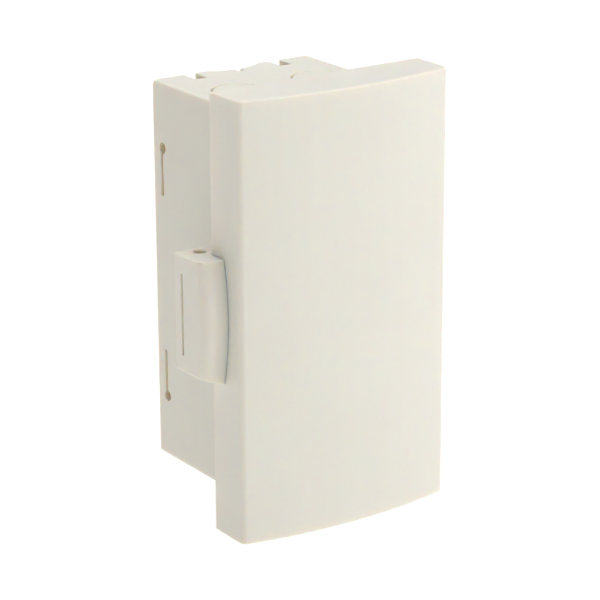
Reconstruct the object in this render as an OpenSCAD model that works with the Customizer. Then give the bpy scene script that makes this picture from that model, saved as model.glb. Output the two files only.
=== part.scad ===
// Wall control box of a garage door opener: a deep rear box screwed to the wall, a larger
// bowed front cover that swings on a hinge ear at its left side, and the control board inside.
// Origin: centre of the box's back face, on the wall. +X right, +Z up, the front looks along -Y.

/* [Rear box] */
// Outer width of the rear box
box_w = 76; // [72:1:95]
// Outer height of the rear box
box_h = 160; // [152:1:200]
// Depth of the rear box from the wall to its front rim
box_d = 68; // [66:0.5:80]
// Side, top and bottom wall thickness
box_wall = 2.5; // [1.8:0.1:3.2]
// Back wall thickness
box_back = 2.5; // [1.8:0.1:3.5]
// Radius of the four long outer edges
box_edge_r = 2; // [1:0.1:2.4]
// Radius of the corner bosses that take the frame screws
boss_r = 3.4; // [3:0.1:3.8]

/* [Front cover] */
// Overhang of the cover past each side of the box
cover_side = 11.5; // [10.5:0.1:14]
// Mean overhang of the cover past the box's top and bottom
cover_end = 10; // [8:0.1:14]
// Distance the cover's back edge reaches behind the box's front rim
cover_overlap = 7.6; // [7:0.1:9]
// Depth of the cover's side walls
cover_d = 20; // [18:0.5:26]
// Rise of the bowed front face at its middle
cover_bow = 5.75; // [3:0.25:8]
// Wall thickness of the cover
cover_wall = 2.4; // [2:0.1:3]
// Radius of the two upright front edges
cover_edge_r = 3; // [2.6:0.1:4]
// Height of the box centre above the cover centre
cover_drop = 1.3; // [0:0.1:3]
// Height of the stiffening ribs inside the cover
rib_h = 2.5; // [1:0.5:4]
// Thickness of the stiffening ribs
rib_t = 1.5; // [1:0.1:2.5]
// Distance of the ribs' ends from the cover's side walls
rib_end = 8; // [4:0.5:20]

/* [Hinge] */
// Distance of the hinge axis outside the cover's side
hinge_out = 1.5; // [1.2:0.1:2.5]
// Distance of the hinge axis behind the cover's back edge
hinge_behind = 5.7; // [5.2:0.1:7]
// Radius of the hinge pin
pin_r = 2.5; // [2:0.1:2.6]
// Radial clearance of the pin in the box's knuckle
pin_running_gap = 0.08; // [0.02:0.01:0.1]
// Radial clearance of the pin where it is held in the ear
pin_held_gap = 0.03; // [0.01:0.01:0.05]
// Distance of the pin's top below the ear's top
pin_recess = 7; // [3:0.5:12]
// Wall of the box's knuckle round its bore
knuckle_wall = 1.32; // [1.1:0.02:1.5]
// Height of the box's knuckle
knuckle_h = 28; // [16:1:32]
// Thickness of the arm that carries the knuckle
arm_t = 3; // [2:0.1:3.4]

/* [Hinge ear] */
// Distance the ear stands out from the cover's side
ear_out = 10.5; // [9:0.1:12]
// Distance the ear reaches behind the hinge axis
ear_behind = 4.7; // [4.2:0.1:5.5]
// Distance the ear reaches inwards from the hinge axis
ear_inward = 4.5; // [4:0.1:5]
// Reach of the ear in front of the cover's back edge, at mid height
ear_ahead = 12; // [9:0.5:15]
// Height of the ear's top above the box centre
ear_top = 24.2; // [22:0.1:30]
// Depth of the ear's bottom at its outer face, below the box centre
ear_bottom = 23.3; // [22:0.1:30]
// Extra depth of the ear's bottom where it meets the cover
ear_bottom_slope = 3.2; // [0:0.1:5]
// Rise of the ear's bowed front edge
ear_bow = 2.6; // [1:0.1:4]
// Radius of the ear's outer front corner
ear_corner_r = 5; // [3:0.1:7]
// Radius of the ear's outer back corner
ear_back_r = 1.2; // [0.5:0.1:2]
// Gap between the ear and the cover's side
ear_gap = 0.05; // [0.05:0.05:0.5]
// Length of the slit in the ear's outer face
ear_slit_l = 33.4; // [20:0.1:36]
// Width of the slit
ear_slit_w = 1.2; // [0.6:0.1:2]
// Depth of the slit
ear_slit_d = 2.4; // [1:0.1:4]
// Distance of the slit in front of the hinge axis
ear_slit_ahead = 0.6; // [0:0.1:2]
// Flare of the mouth of the ear's bore
ear_mouth_flare = 0.5; // [0.2:0.1:0.9]
// Radius of the two stakes that fix the ear to the cover
stake_r = 1.6; // [1.2:0.1:2]

/* [Openings in the box] */
// Diameter of the round conduit knock-outs
knockout_dia = 21; // [16:0.5:22.5]
// Sideways distance of the knock-outs from the middle
knockout_x = 19; // [16:0.5:20]
// Distance of the knock-outs from the wall
knockout_y = 35; // [30:0.5:40]
// Width of the groove around a knock-out
knockout_groove = 0.9; // [0.5:0.1:1.5]
// Depth of the groove around a knock-out
knockout_groove_d = 1.6; // [0.8:0.1:1.7]
// Distance of the side slots from the wall
side_slot_y = 6.6; // [6:0.1:9]
// Height of the side slots' round ends above and below the middle
side_slot_z = 53; // [45:1:56]
// Diameter of a side slot's round end
side_slot_dia = 4.6; // [3:0.1:5]
// Width of a side slot
side_slot_w = 1.8; // [1:0.1:2.5]
// Distance of a side slot behind the middle of its round end
side_slot_back = 0.6; // [0:0.1:1.2]
// Length of a side slot from its round end
side_slot_l = 20; // [10:1:26]
// Sideways distance of the back edge notches from the middle
notch_x = 20.5; // [18:0.5:24]
// Width of a back edge notch
notch_w = 5.4; // [4:0.1:7]
// Depth of a back edge notch from the wall
notch_d = 9.4; // [6:0.1:11]
// Width of the shallow recess in the middle of the back edge
recess_w = 25; // [18:0.5:27]
// Depth of the shallow recess
recess_d = 4; // [2.5:0.1:5]
// Width of the small slot in the recess
recess_slot_w = 2.6; // [1.5:0.1:4]
// Depth of the small slot from the wall
recess_slot_d = 7.6; // [5:0.1:9]
// Drop of all the back edge openings into the back wall
notch_drop = 5.5; // [4:0.1:7]

/* [Wall fixing] */
// Sideways distance between the wall screw holes
wall_hole_dx = 50; // [40:1:54]
// Upright distance between the wall screw holes
wall_hole_dz = 128; // [124:1:136]
// Diameter of the wall screw holes
wall_hole_dia = 5; // [4:0.1:6]

/* [Front frame] */
// Thickness of the frame
frame_t = 3; // [2:0.1:3.4]
// Gap between the frame and the cover at the hinge side, top and bottom
frame_gap = 0.8; // [0.5:0.1:1.2]
// Gap between the frame and the cover at the latch side
frame_gap_latch = 1.2; // [1.1:0.1:2]
// Distance of the frame's opening from each side of the box
frame_side_rim = 7; // [6.5:0.1:10]
// Distance of the frame's opening from the box's top and bottom
frame_end_rim = 10; // [9.5:0.1:14]

/* [Latch] */
// Radius of the latch spindle
latch_r = 2.5; // [2:0.1:3]
// Radial clearance of the latch spindle
latch_gap = 0.08; // [0.02:0.01:0.1]
// Distance of the latch axis in front of the cover's back edge
latch_ahead = 4.6; // [4.4:0.1:5]
// Radius of the latch head
latch_head_r = 4.2; // [3.6:0.1:4.3]
// Thickness of the latch head
latch_head_t = 1.2; // [0.8:0.1:1.4]
// Thickness of the latch cam
cam_t = 4; // [2.5:0.1:4.2]
// Width of the latch cam
cam_w = 5.4; // [4:0.1:5.6]
// Reach of the latch cam from its axis
cam_reach = 9.5; // [8:0.1:11]

/* [Control board] */
// Gap between the circuit board and each side wall
pcb_side_gap = 3.5; // [2.5:0.1:3.5]
// Height of the circuit board
pcb_h = 116; // [116:0.5:118]
// Thickness of the circuit board
pcb_t = 1.6; // [1.2:0.1:2]
// Height of the posts under the circuit board
pcb_post_h = 8; // [6:0.5:10]
// Radius of the posts under the circuit board
pcb_post_r = 3; // [2.6:0.1:3.4]
// Distance of the board screws from the board's sides
pcb_screw_in = 4; // [4:0.1:5]

/* [Board parts] */
// Width of the transformer's outer legs and yokes
transformer_leg = 7; // [6:0.1:7.4]
// Relay centre across the board
relay_x = 21; // [20.5:0.1:22]
// Pitch of the mains terminals
mains_pitch = 7.6; // [7:0.1:8]
// Number of mains terminals
mains_poles = 5; // [3:1:5]
// Height of the mains terminal centres up the board
mains_z = -51.5; // [-52:0.1:-51]
// Pitch of the control terminals
control_pitch = 5; // [4:0.1:5]
// Number of control terminals
control_poles = 9; // [4:1:9]
// Height of the control terminal centres up the board
control_z = 51.5; // [50.5:0.1:52]
// Fuse length
fuse_l = 20; // [18:0.1:21]
// Fuse radius
fuse_r = 2.6; // [2:0.1:2.6]
// Height of the fuse's axis over the board
fuse_lift = 5; // [4.5:0.1:6]
// Number of heat sink fins
fin_count = 5; // [3:1:7]
// Number of processor pins on each side
processor_pins = 14; // [8:1:14]
// Height of the radio board over the main board
radio_lift = 3; // [2:0.1:4]
// Number of turns of the coil antenna
coil_turns = 9; // [5:1:11]
// Pitch of the coil antenna's turns
coil_pitch = 1.7; // [1.4:0.1:2]
// Number of slide switches
dip_ways = 4; // [4:1:5]
// Pitch of the slide switches
dip_pitch = 2.54; // [2.2:0.01:2.54]
// Travel of a slide switch
dip_travel = 1.6; // [1:0.1:1.8]
// Height of the slide switch block
dip_h = 5.2; // [4.5:0.1:7]
// Height of a trimmer
trimmer_h = 4.6; // [4:0.1:7]
// Radius of a trimmer's dial
dial_r = 2.4; // [1.8:0.1:2.8]
// Height of a push button's body
button_h = 3.4; // [3:0.1:4.5]
// Radius of a push button's plunger
plunger_r = 1.75; // [1.2:0.05:2.2]
// Travel of a push button
button_travel = 0.8; // [0.5:0.1:1]

/* [Touch guard] */
// Thickness of the touch guard
guard_t = 2; // [1.5:0.1:2.5]
// Distance of the touch guard's back from the wall
guard_y = 55; // [51:0.5:56]
// Lowest point of the touch guard
guard_low = -70; // [-72:1:-66]
// Highest point of the touch guard
guard_high = -5; // [-8:1:-4]

/* [Hidden] */
$fn = 48;
// Small overlap that makes cuts and unions clean
eps = 0.02;
// General clearance around pieces that do not move
fit = 0.15;

ivory = [0.90, 0.88, 0.81];
inner_w = box_w - 2 * box_wall;
inner_h = box_h - 2 * box_wall;
cover_w = box_w + 2 * cover_side;
cover_h = box_h + 2 * cover_end;
cover_standoff = box_d - cover_overlap;

// Cover planes
cover_back = -cover_standoff;
cover_corner_y = cover_back - cover_d;
bow_r = (pow(cover_w / 2, 2) + pow(cover_bow, 2)) / (2 * cover_bow);
bow_centre_y = cover_corner_y - cover_bow + bow_r;
cover_inner_w = cover_w - 2 * cover_wall;
cover_inner_h = cover_h - 2 * cover_wall;

// Hinge axis and ear
hinge_x = -cover_w / 2 - hinge_out;
hinge_y = cover_back + hinge_behind;
ear_x = -cover_w / 2 - ear_out;
ear_inner_x = hinge_x + ear_inward;
ear_back_y = hinge_y + ear_behind;
ear_front_y = cover_back - ear_ahead;
ear_bow_r = (pow(ear_top, 2) + pow(ear_bow, 2)) / (2 * ear_bow);
knuckle_r = pin_r + pin_running_gap + knuckle_wall;
ear_cave = knuckle_r + 0.5;
stake_y = cover_back - ear_ahead / 2 + 1;
stake_z = 18;

// Frame and latch
frame_open_w = box_w - 2 * frame_side_rim;
frame_open_h = box_h - 2 * frame_end_rim;
frame_left = -cover_inner_w / 2 + frame_gap;
frame_right = cover_inner_w / 2 - frame_gap_latch;
frame_top = cover_inner_h / 2 - cover_drop - frame_gap;
frame_bottom = -cover_inner_h / 2 - cover_drop + frame_gap;
latch_y = cover_back - latch_ahead;
cam_x = cover_inner_w / 2 - 0.5 - cam_t;

// Frame bosses
boss_x = inner_w / 2 - boss_r + 0.3;
boss_z = inner_h / 2 - boss_r + 0.3;

// Board planes; the parts stand on its front face
pcb_w = inner_w - 2 * pcb_side_gap;
pcb_back = -box_back - pcb_post_h;
pcb_face = pcb_back - pcb_t;
pcb_screw_x = pcb_w / 2 - pcb_screw_in;
pcb_screw_z = pcb_h / 2 - pcb_screw_in;

// Screws: shank radius, pilot radius, hole radius, head radius and head height
shank_r = 1.4;
pilot_r = 1.45;
screw_hole_r = 1.6;
head_r = 2.7;
head_h = 1.8;

// Centres of the parts on the board, across and up
transformer_at = [-9, -22];
relay_z = [-15.5, -35.5];
fuse_at = [-19, -41];
varistor_at = [3, -41];
bulk_cap_at = [-22, 5];
small_cap_at = [[-9, 0], [-9, 10]];
heatsink_at = [6, 3];
rectifier_at = [24, 1];
processor_at = [-12, 23];
crystal_at = [11.5, 23];
radio_at = [25, 26];
dip_at = [-22.5, 37];
trimmer_at = [[-11, 37], [-3, 37]];
button_at = [[5, 37], [13, 37]];
led_at = [[5, 43], [13, 43]];

// Sizes of the parts on the board, across, up and outwards
transformer_core_size = [42, 15, 35];
winding_size = [27.4, 29, 20.4];
relay_size = [15, 18.6, 15.3];
sink_size = [19, 3, 24];
radio_size = [12, 30, 1.2];
processor_l = processor_pins * 2.54;
dip_depth = 7;
dial_h = 1.6;
plunger_out = 5;

// Sizes of the terminal rows, up and outwards
mains_size = [11, 14];
control_size = [8.6, 10.5];

// Touch guard ledges, and the heights of its screws
ledge = [5, 8, 12];
guard_screw_z = [-62, -11];
guard_screw_x = inner_w / 2 - ledge[0] / 2;

// Cable clamp
clamp_post_x = 11;
clamp_post_z = -66.5;
clamp_post_h = 13;
clamp_bar = [30, 7, 3];

// ---------------------------------------------------------------- shared shapes

// Corner positions of a rectangle pattern
function corners(x, z) = [for (i = [-1, 1], j = [-1, 1]) [i * x, j * z]];

// Draws a flat outline in X and Z, from start_y towards the front
module toward_front(start_y, depth) {
    translate([0, start_y, 0])
        rotate([90, 0, 0])
            linear_extrude(depth)
                children();
}

// A rod along Y, from start_y towards the front
module rod(r, at, start_y, depth) {
    toward_front(start_y, depth)
        translate(at)
            circle(r);
}

// A block standing on a plane that faces the front: size is across, up, outwards
module stand_block(size, at, plane_y) {
    translate([at[0] - size[0] / 2, plane_y - size[2], at[1] - size[1] / 2])
        cube([size[0], size[2], size[1]]);
}

// A rectangle with true round corners
module rounded_rect(w, h, r) {
    square([w - 2 * r, h], center = true);
    square([w, h - 2 * r], center = true);
    for (c = corners(w / 2 - r, h / 2 - r))
        translate(c)
            circle(r);
}

// A pan head screw along Y with a cross recess; its head rests on plane_y
module screw(at, plane_y, length, hr = head_r, hh = head_h, sr = shank_r) {
    difference() {
        union() {
            rod(hr, at, plane_y, hh);
            rod(sr, at, plane_y + length, length + eps);
        }
        for (s = [[hr * 1.3, 0.6], [0.6, hr * 1.3]])
            stand_block([s[0], s[1], hh], at, plane_y - hh / 2);
    }
}

// ---------------------------------------------------------------- rear box

module knockout_grooves() {
    for (side = [-1, 1], x = [-knockout_x, knockout_x])
        translate([x, -knockout_y, side * box_h / 2])
            difference() {
                cylinder(r = knockout_dia / 2 + knockout_groove, h = 2 * knockout_groove_d,
                    center = true);
                cylinder(r = knockout_dia / 2, h = 3 * knockout_groove_d, center = true);
            }
}

module side_slots() {
    for (side = [-1, 1], up = [-1, 1])
        translate([side * box_w / 2, -side_slot_y, up * side_slot_z]) {
            rotate([0, 90, 0])
                cylinder(d = side_slot_dia, h = 3 * box_wall, center = true);
            translate([0, side_slot_back, -up * side_slot_l / 2])
                cube([3 * box_wall, side_slot_w, side_slot_l], center = true);
        }
}

module back_edge_notches() {
    recess_r = (pow(recess_w / 2, 2) + pow(recess_d, 2)) / (2 * recess_d);
    for (side = [-1, 1])
        translate([0, 0, side * (box_h / 2 - notch_drop / 2 + eps)]) {
            for (x = [-notch_x, notch_x])
                translate([x, -notch_d / 2 + eps, 0])
                    cube([notch_w, notch_d, notch_drop], center = true);
            translate([0, recess_r - recess_d, 0])
                cylinder(r = recess_r, h = notch_drop, center = true, $fn = 96);
            translate([0, -recess_slot_d / 2 + eps, 0])
                cube([recess_slot_w, recess_slot_d, notch_drop], center = true);
        }
}

module hinge_arm() {
    arm_l = -box_w / 2 - hinge_x + box_wall / 2;
    translate([hinge_x, hinge_y - arm_t / 2, -knuckle_h / 2])
        cube([arm_l, arm_t, knuckle_h]);
    translate([hinge_x, hinge_y, 0])
        cylinder(r = knuckle_r, h = knuckle_h, center = true);
}

module guard_ledges() {
    for (side = [-1, 1], z = guard_screw_z)
        stand_block([ledge[0] + box_wall / 2, ledge[1], ledge[2]],
            [side * (guard_screw_x + box_wall / 4), z], -guard_y + ledge[2]);
}

module rear_box() {
    color(ivory)
        difference() {
            union() {
                difference() {
                    toward_front(0, box_d)
                        rounded_rect(box_w, box_h, box_edge_r);
                    toward_front(-box_back, box_d)
                        square([inner_w, inner_h], center = true);
                }
                for (c = corners(boss_x, boss_z))
                    rod(boss_r, c, -box_back / 2, box_d - box_back / 2);
                for (c = corners(pcb_screw_x, pcb_screw_z))
                    rod(pcb_post_r, c, -box_back / 2, pcb_post_h + box_back / 2);
                for (x = [-clamp_post_x, clamp_post_x])
                    rod(3, [x, clamp_post_z], -box_back / 2, clamp_post_h + box_back / 2);
                guard_ledges();
                hinge_arm();
            }
            for (c = corners(boss_x, boss_z))
                rod(pilot_r, c, -box_d + 14, 14 + eps);
            for (c = corners(pcb_screw_x, pcb_screw_z))
                rod(pilot_r, c, -box_back - 0.5, pcb_post_h);
            for (x = [-clamp_post_x, clamp_post_x])
                rod(pilot_r, [x, clamp_post_z], -box_back - 2, clamp_post_h);
            for (x = [-guard_screw_x, guard_screw_x], z = guard_screw_z)
                rod(pilot_r, [x, z], -guard_y + 9, 9 + eps);
            for (c = corners(wall_hole_dx / 2, wall_hole_dz / 2))
                rod(wall_hole_dia / 2, c, eps, box_back + 2 * eps);
            translate([hinge_x, hinge_y, 0])
                cylinder(r = pin_r + pin_running_gap, h = knuckle_h + 1, center = true);
            knockout_grooves();
            side_slots();
            back_edge_notches();
        }
}

// ---------------------------------------------------------------- front frame

module front_frame() {
    color(ivory)
        difference() {
            translate([frame_left, -box_d - frame_t, frame_bottom])
                cube([frame_right - frame_left, frame_t, frame_top - frame_bottom]);
            toward_front(-box_d + eps, frame_t + 2 * eps)
                square([frame_open_w, frame_open_h], center = true);
            for (c = corners(boss_x, boss_z))
                rod(screw_hole_r, c, -box_d + eps, frame_t + 2 * eps);
            translate([cam_x - 1.8, -box_d - 2 * frame_t, -cam_w / 2 - 0.7])
                cube([frame_right, 3 * frame_t, cam_w + 1.4]);
        }
}

module frame_screws() {
    color("silver")
        for (c = corners(boss_x, boss_z))
            screw(c, -box_d - frame_t, frame_t + 11);
}

// ---------------------------------------------------------------- front cover

// Plan of the cover, set in by `inset` from its outer surface
module cover_plan(inset) {
    half_w = cover_w / 2 - inset;
    r = cover_edge_r - inset;
    big_r = bow_r - inset;
    fillet_x = half_w - r;
    fillet_y = bow_centre_y - sqrt(pow(big_r - r, 2) - pow(fillet_x, 2));
    touch_x = fillet_x * big_r / (big_r - r);
    intersection() {
        translate([0, bow_centre_y])
            circle(big_r, $fn = 360);
        translate([-touch_x, bow_centre_y - big_r - 1])
            square([2 * touch_x, cover_back - bow_centre_y + big_r + 1]);
    }
    translate([-half_w, fillet_y])
        square([2 * half_w, cover_back - fillet_y]);
    for (side = [-1, 1])
        translate([side * fillet_x, fillet_y])
            circle(r);
}

module cover_inside() {
    translate([0, 0, -cover_inner_h / 2 - cover_drop])
        linear_extrude(cover_inner_h)
            cover_plan(cover_wall);
}

// Plan of a rib: it follows the inner face and ends short of the side walls
module rib_plan() {
    intersection() {
        difference() {
            cover_plan(cover_wall / 2);
            translate([0, rib_h])
                cover_plan(cover_wall);
        }
        translate([-cover_inner_w / 2 + rib_end, cover_corner_y - 2 * cover_bow])
            square([cover_inner_w - 2 * rib_end, 2 * cover_bow + rib_h + cover_edge_r]);
    }
}

module cover_ribs() {
    for (z = [-3, -1, 1, 3] * cover_h / 9)
        translate([0, 0, z - cover_drop - rib_t / 2])
            linear_extrude(rib_t)
                rib_plan();
}

module front_cover() {
    color(ivory)
        difference() {
            union() {
                difference() {
                    translate([0, 0, -cover_h / 2 - cover_drop])
                        linear_extrude(cover_h)
                            cover_plan(0);
                    cover_inside();
                    translate([-cover_inner_w / 2, cover_back - eps,
                        -cover_inner_h / 2 - cover_drop])
                        cube([cover_inner_w, 1, cover_inner_h]);
                }
                cover_ribs();
            }
            for (z = [-stake_z, stake_z])
                translate([-cover_w / 2, stake_y, z])
                    rotate([0, 90, 0])
                        cylinder(r = stake_r + 0.05, h = 4 * cover_wall, center = true);
            translate([cover_w / 2, latch_y, 0])
                rotate([0, 90, 0]) {
                    cylinder(r = latch_r + latch_gap, h = 4 * cover_wall, center = true);
                    cylinder(r = latch_head_r + fit, h = 2 * latch_head_t, center = true);
                }
        }
}

// ---------------------------------------------------------------- hinge ear and pin

// Plan of the ear, seen from above, before its front is bowed and its front corner rounded
module ear_plan() {
    translate([ear_x, ear_front_y])
        square([-cover_w / 2 - ear_gap - ear_x, cover_back + ear_gap - ear_front_y]);
    translate([ear_x, cover_back + ear_gap])
        square([ear_inner_x - ear_x, ear_back_y - ear_back_r - cover_back - ear_gap]);
    translate([ear_x + ear_back_r, cover_back + ear_gap])
        square([ear_inner_x - ear_x - ear_back_r, ear_back_y - cover_back - ear_gap]);
    translate([ear_x + ear_back_r, ear_back_y - ear_back_r])
        circle(ear_back_r);
}

// Disc whose rim is the ear's bowed front and whose rounded edge is its front corner
module ear_bow_disc() {
    core_r = ear_bow_r - ear_corner_r;
    rotate([0, 90, 0])
        rotate_extrude($fn = 180) {
            translate([0, ear_x])
                square([core_r, 30]);
            translate([core_r, ear_x + ear_corner_r])
                circle(ear_corner_r, $fn = 48);
            translate([core_r - 1, ear_x + ear_corner_r])
                square([ear_corner_r + 1, 30 - ear_corner_r]);
        }
}

module ear_block() {
    low = -ear_bottom - ear_bottom_slope * (1 + ear_inward / ear_out);
    intersection() {
        translate([0, 0, low - 5])
            linear_extrude(ear_top - low + 10)
                ear_plan();
        translate([0, ear_back_y + 5, 0])
            rotate([90, 0, 0])
                linear_extrude(50)
                    polygon([[ear_x, ear_top], [ear_inner_x, ear_top], [ear_inner_x, low],
                        [ear_x, -ear_bottom]]);
        translate([0, ear_front_y + ear_bow_r, 0])
            ear_bow_disc();
    }
}

module hinge_ear() {
    color(ivory)
        difference() {
            union() {
                ear_block();
                for (z = [-stake_z, stake_z])
                    translate([-cover_w / 2 - ear_gap - 1, stake_y, z])
                        rotate([0, 90, 0])
                            cylinder(r = stake_r, h = cover_wall + ear_gap + 1.6);
            }
            translate([hinge_x, hinge_y, -50])
                cylinder(r = pin_r + pin_held_gap, h = 100);
            translate([hinge_x, hinge_y, ear_top - 0.5])
                cylinder(r1 = pin_r + pin_held_gap, r2 = pin_r + ear_mouth_flare, h = 0.5 + eps);
            translate([hinge_x - ear_cave, hinge_y - ear_cave, -knuckle_h / 2 - 0.3])
                cube([20, 20, knuckle_h + 0.6]);
            translate([ear_x - 1, hinge_y - ear_slit_ahead - ear_slit_w / 2, -ear_slit_l / 2])
                cube([ear_slit_d + 1, ear_slit_w, ear_slit_l]);
        }
}

module hinge_pin() {
    pin_top = ear_top - pin_recess;
    color("silver")
        translate([hinge_x, hinge_y, -ear_bottom + 0.5])
            cylinder(r = pin_r, h = pin_top + ear_bottom - 0.5);
}

// ---------------------------------------------------------------- latch

module latch_spindle() {
    color(ivory)
        translate([0, latch_y, 0])
            difference() {
                union() {
                    translate([cover_w / 2 - latch_head_t, 0, 0])
                        rotate([0, 90, 0])
                            cylinder(r = latch_head_r, h = latch_head_t);
                    translate([cam_x, 0, 0])
                        rotate([0, 90, 0])
                            cylinder(r = latch_r, h = cover_w / 2 - cam_x - eps);
                    translate([cam_x, 0, 0])
                        rotate([0, 90, 0])
                            cylinder(r = cam_w / 2, h = cam_t);
                    translate([cam_x, 0, -cam_w / 2])
                        cube([cam_t, cam_reach, cam_w]);
                }
                translate([cover_w / 2, 0, 0])
                    cube([1.2, 1.2, 2 * latch_head_r - 2], center = true);
            }
}

// ---------------------------------------------------------------- board and power parts

module circuit_board() {
    color("seagreen")
        difference() {
            stand_block([pcb_w, pcb_h, pcb_t], [0, 0], pcb_back);
            for (c = corners(pcb_screw_x, pcb_screw_z))
                rod(screw_hole_r, c, pcb_back + eps, pcb_t + 2 * eps);
        }
}

module board_screws() {
    color("silver")
        for (c = corners(pcb_screw_x, pcb_screw_z))
            screw(c, pcb_face, pcb_t + 6);
}

module transformer_core() {
    size = transformer_core_size;
    window = (size[0] - 4 * transformer_leg) / 2;
    color("dimgray")
        difference() {
            stand_block(size, transformer_at, pcb_face);
            for (side = [-1, 1])
                stand_block([window, size[1] + 1, size[2] - 2 * transformer_leg],
                    [transformer_at[0] + side * (transformer_leg + window / 2), transformer_at[1]],
                    pcb_face - transformer_leg);
        }
}

module transformer_winding() {
    core = transformer_core_size;
    plane = pcb_face - (core[2] - winding_size[2]) / 2;
    color("goldenrod")
        difference() {
            stand_block(winding_size, transformer_at, plane);
            stand_block([2 * transformer_leg + 2 * fit, core[1] + 2 * fit, winding_size[2] + 1],
                transformer_at, plane + 0.5);
        }
}

module relay(z) {
    color("royalblue") {
        stand_block([relay_size[0], relay_size[1], relay_size[2] - 0.6], [relay_x, z], pcb_face);
        stand_block([relay_size[0] - 1.2, relay_size[1] - 1.2, relay_size[2]], [relay_x, z],
            pcb_face);
    }
}

module relay_open() {
    relay(relay_z[0]);
}

module relay_close() {
    relay(relay_z[1]);
}

// Centres of the poles in a terminal row
function pole_x(n, pitch) = [for (i = [0:n - 1]) (i - (n - 1) / 2) * pitch];

// Terminal row: screws face the front, wires enter from the side that `outward` points to
module terminal_block(n, pitch, z, size, outward) {
    difference() {
        union() {
            stand_block([n * pitch, size[0], size[1] * 0.7], [0, z], pcb_face);
            stand_block([n * pitch, size[0] * 0.7, size[1]], [0, z - outward * size[0] * 0.12],
                pcb_face);
        }
        for (x = pole_x(n, pitch)) {
            rod(pitch * 0.34, [x, z], pcb_face - size[1] * 0.55, size[1]);
            stand_block([pitch * 0.62, size[0], size[1] * 0.36], [x, z + outward * size[0] / 2],
                pcb_face - size[1] * 0.1);
        }
    }
}

module terminal_screws(n, pitch, z, size) {
    for (x = pole_x(n, pitch))
        difference() {
            rod(pitch * 0.34 - 0.1, [x, z], pcb_face - size[1] * 0.56, size[1] * 0.3);
            stand_block([pitch, 0.7, 2], [x, z], pcb_face - size[1] * 0.86 + 1);
        }
}

module mains_terminal_block() {
    color("darkseagreen")
        terminal_block(mains_poles, mains_pitch, mains_z, mains_size, -1);
}

module mains_terminal_screws() {
    color("silver")
        terminal_screws(mains_poles, mains_pitch, mains_z, mains_size);
}

module control_terminal_block() {
    color("darkgreen")
        terminal_block(control_poles, control_pitch, control_z, control_size, 1);
}

module control_terminal_screws() {
    color("silver")
        terminal_screws(control_poles, control_pitch, control_z, control_size);
}

module fuse_link() {
    color("lightcyan")
        translate([fuse_at[0], pcb_face - fuse_lift, fuse_at[1]])
            rotate([0, 90, 0]) {
                cylinder(r = fuse_r - 0.3, h = fuse_l, center = true);
                for (side = [-1, 1])
                    translate([0, 0, side * (fuse_l / 2 - 2.5)])
                        cylinder(r = fuse_r, h = 5, center = true);
            }
}

module fuse_clips() {
    clip_w = 3.6;
    color("silver")
        for (side = [-1, 1])
            translate([fuse_at[0] + side * (fuse_l / 2 - 2.5), pcb_face, fuse_at[1]])
                difference() {
                    union() {
                        translate([-clip_w / 2, -1, -fuse_r - 0.7])
                            cube([clip_w, 1, 2 * fuse_r + 1.4]);
                        for (up = [-1, 1])
                            translate([-clip_w / 2, -fuse_lift - 1.6,
                                up * (fuse_r + 0.4) - 0.3])
                                cube([clip_w, fuse_lift + 1.6, 0.6]);
                    }
                    translate([0, -fuse_lift, 0])
                        rotate([0, 90, 0])
                            cylinder(r = fuse_r + 0.05, h = clip_w + 1, center = true);
                }
}

module varistor() {
    color("steelblue")
        translate([varistor_at[0], pcb_face - 7.5, varistor_at[1]]) {
            cylinder(r = 5, h = 4, center = true);
            for (side = [-1, 1])
                translate([side * 2.5, 5.5, 0])
                    cube([0.8, 4, 0.8], center = true);
        }
}

// Can capacitor standing on the board, with a groove near its foot
module can_capacitor(at, r, h) {
    translate([at[0], pcb_face, at[1]])
        rotate([90, 0, 0])
            difference() {
                cylinder(r = r, h = h);
                translate([0, 0, 1.8])
                    difference() {
                        cylinder(r = r + 1, h = 1);
                        translate([0, 0, -1])
                            cylinder(r = r - 0.4, h = 3);
                    }
                for (turn = [0, 90])
                    rotate([0, 0, turn])
                        translate([0, 0, h])
                            cube([r, 0.4, 0.4], center = true);
            }
}

module bulk_capacitor() {
    color("midnightblue")
        can_capacitor(bulk_cap_at, 8, 25);
}

module small_capacitors() {
    color("midnightblue")
        for (at = small_cap_at)
            can_capacitor(at, 4, 12);
}

// Heat sink: back plate with fins that stand on the board
module heat_sink() {
    fin_step = (sink_size[0] - 1.4) / (fin_count - 1);
    color("darkgray") {
        stand_block(sink_size, heatsink_at, pcb_face);
        for (i = [0:fin_count - 1])
            stand_block([1.4, 5, sink_size[2]],
                [heatsink_at[0] - sink_size[0] / 2 + 0.7 + i * fin_step,
                    heatsink_at[1] - sink_size[1] / 2 - 2.4], pcb_face);
    }
}

module voltage_regulator() {
    front = heatsink_at[1] + sink_size[1] / 2;
    color([0.15, 0.15, 0.16]) {
        stand_block([10, 1.3, 15.6], [heatsink_at[0], front + 0.7], pcb_face - 4.5);
        stand_block([10, 4.4, 9.2], [heatsink_at[0], front + 2.25], pcb_face - 4.5);
        for (x = [-2.54, 0, 2.54])
            stand_block([0.8, 0.6, 4.6], [heatsink_at[0] + x, front + 2.25], pcb_face);
    }
}

module rectifier() {
    color([0.13, 0.13, 0.14]) {
        rod(4.6, rectifier_at, pcb_face - 2.5, 5.2);
        for (c = corners(1.8, 1.8))
            rod(0.4, rectifier_at + c, pcb_face, 2.6);
    }
}

// ---------------------------------------------------------------- logic parts

module processor_socket() {
    color([0.2, 0.2, 0.2])
        difference() {
            stand_block([processor_l, 10, 3.4], processor_at, pcb_face);
            stand_block([processor_l - 6, 5, 4], processor_at, pcb_face + 0.3);
        }
}

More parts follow.
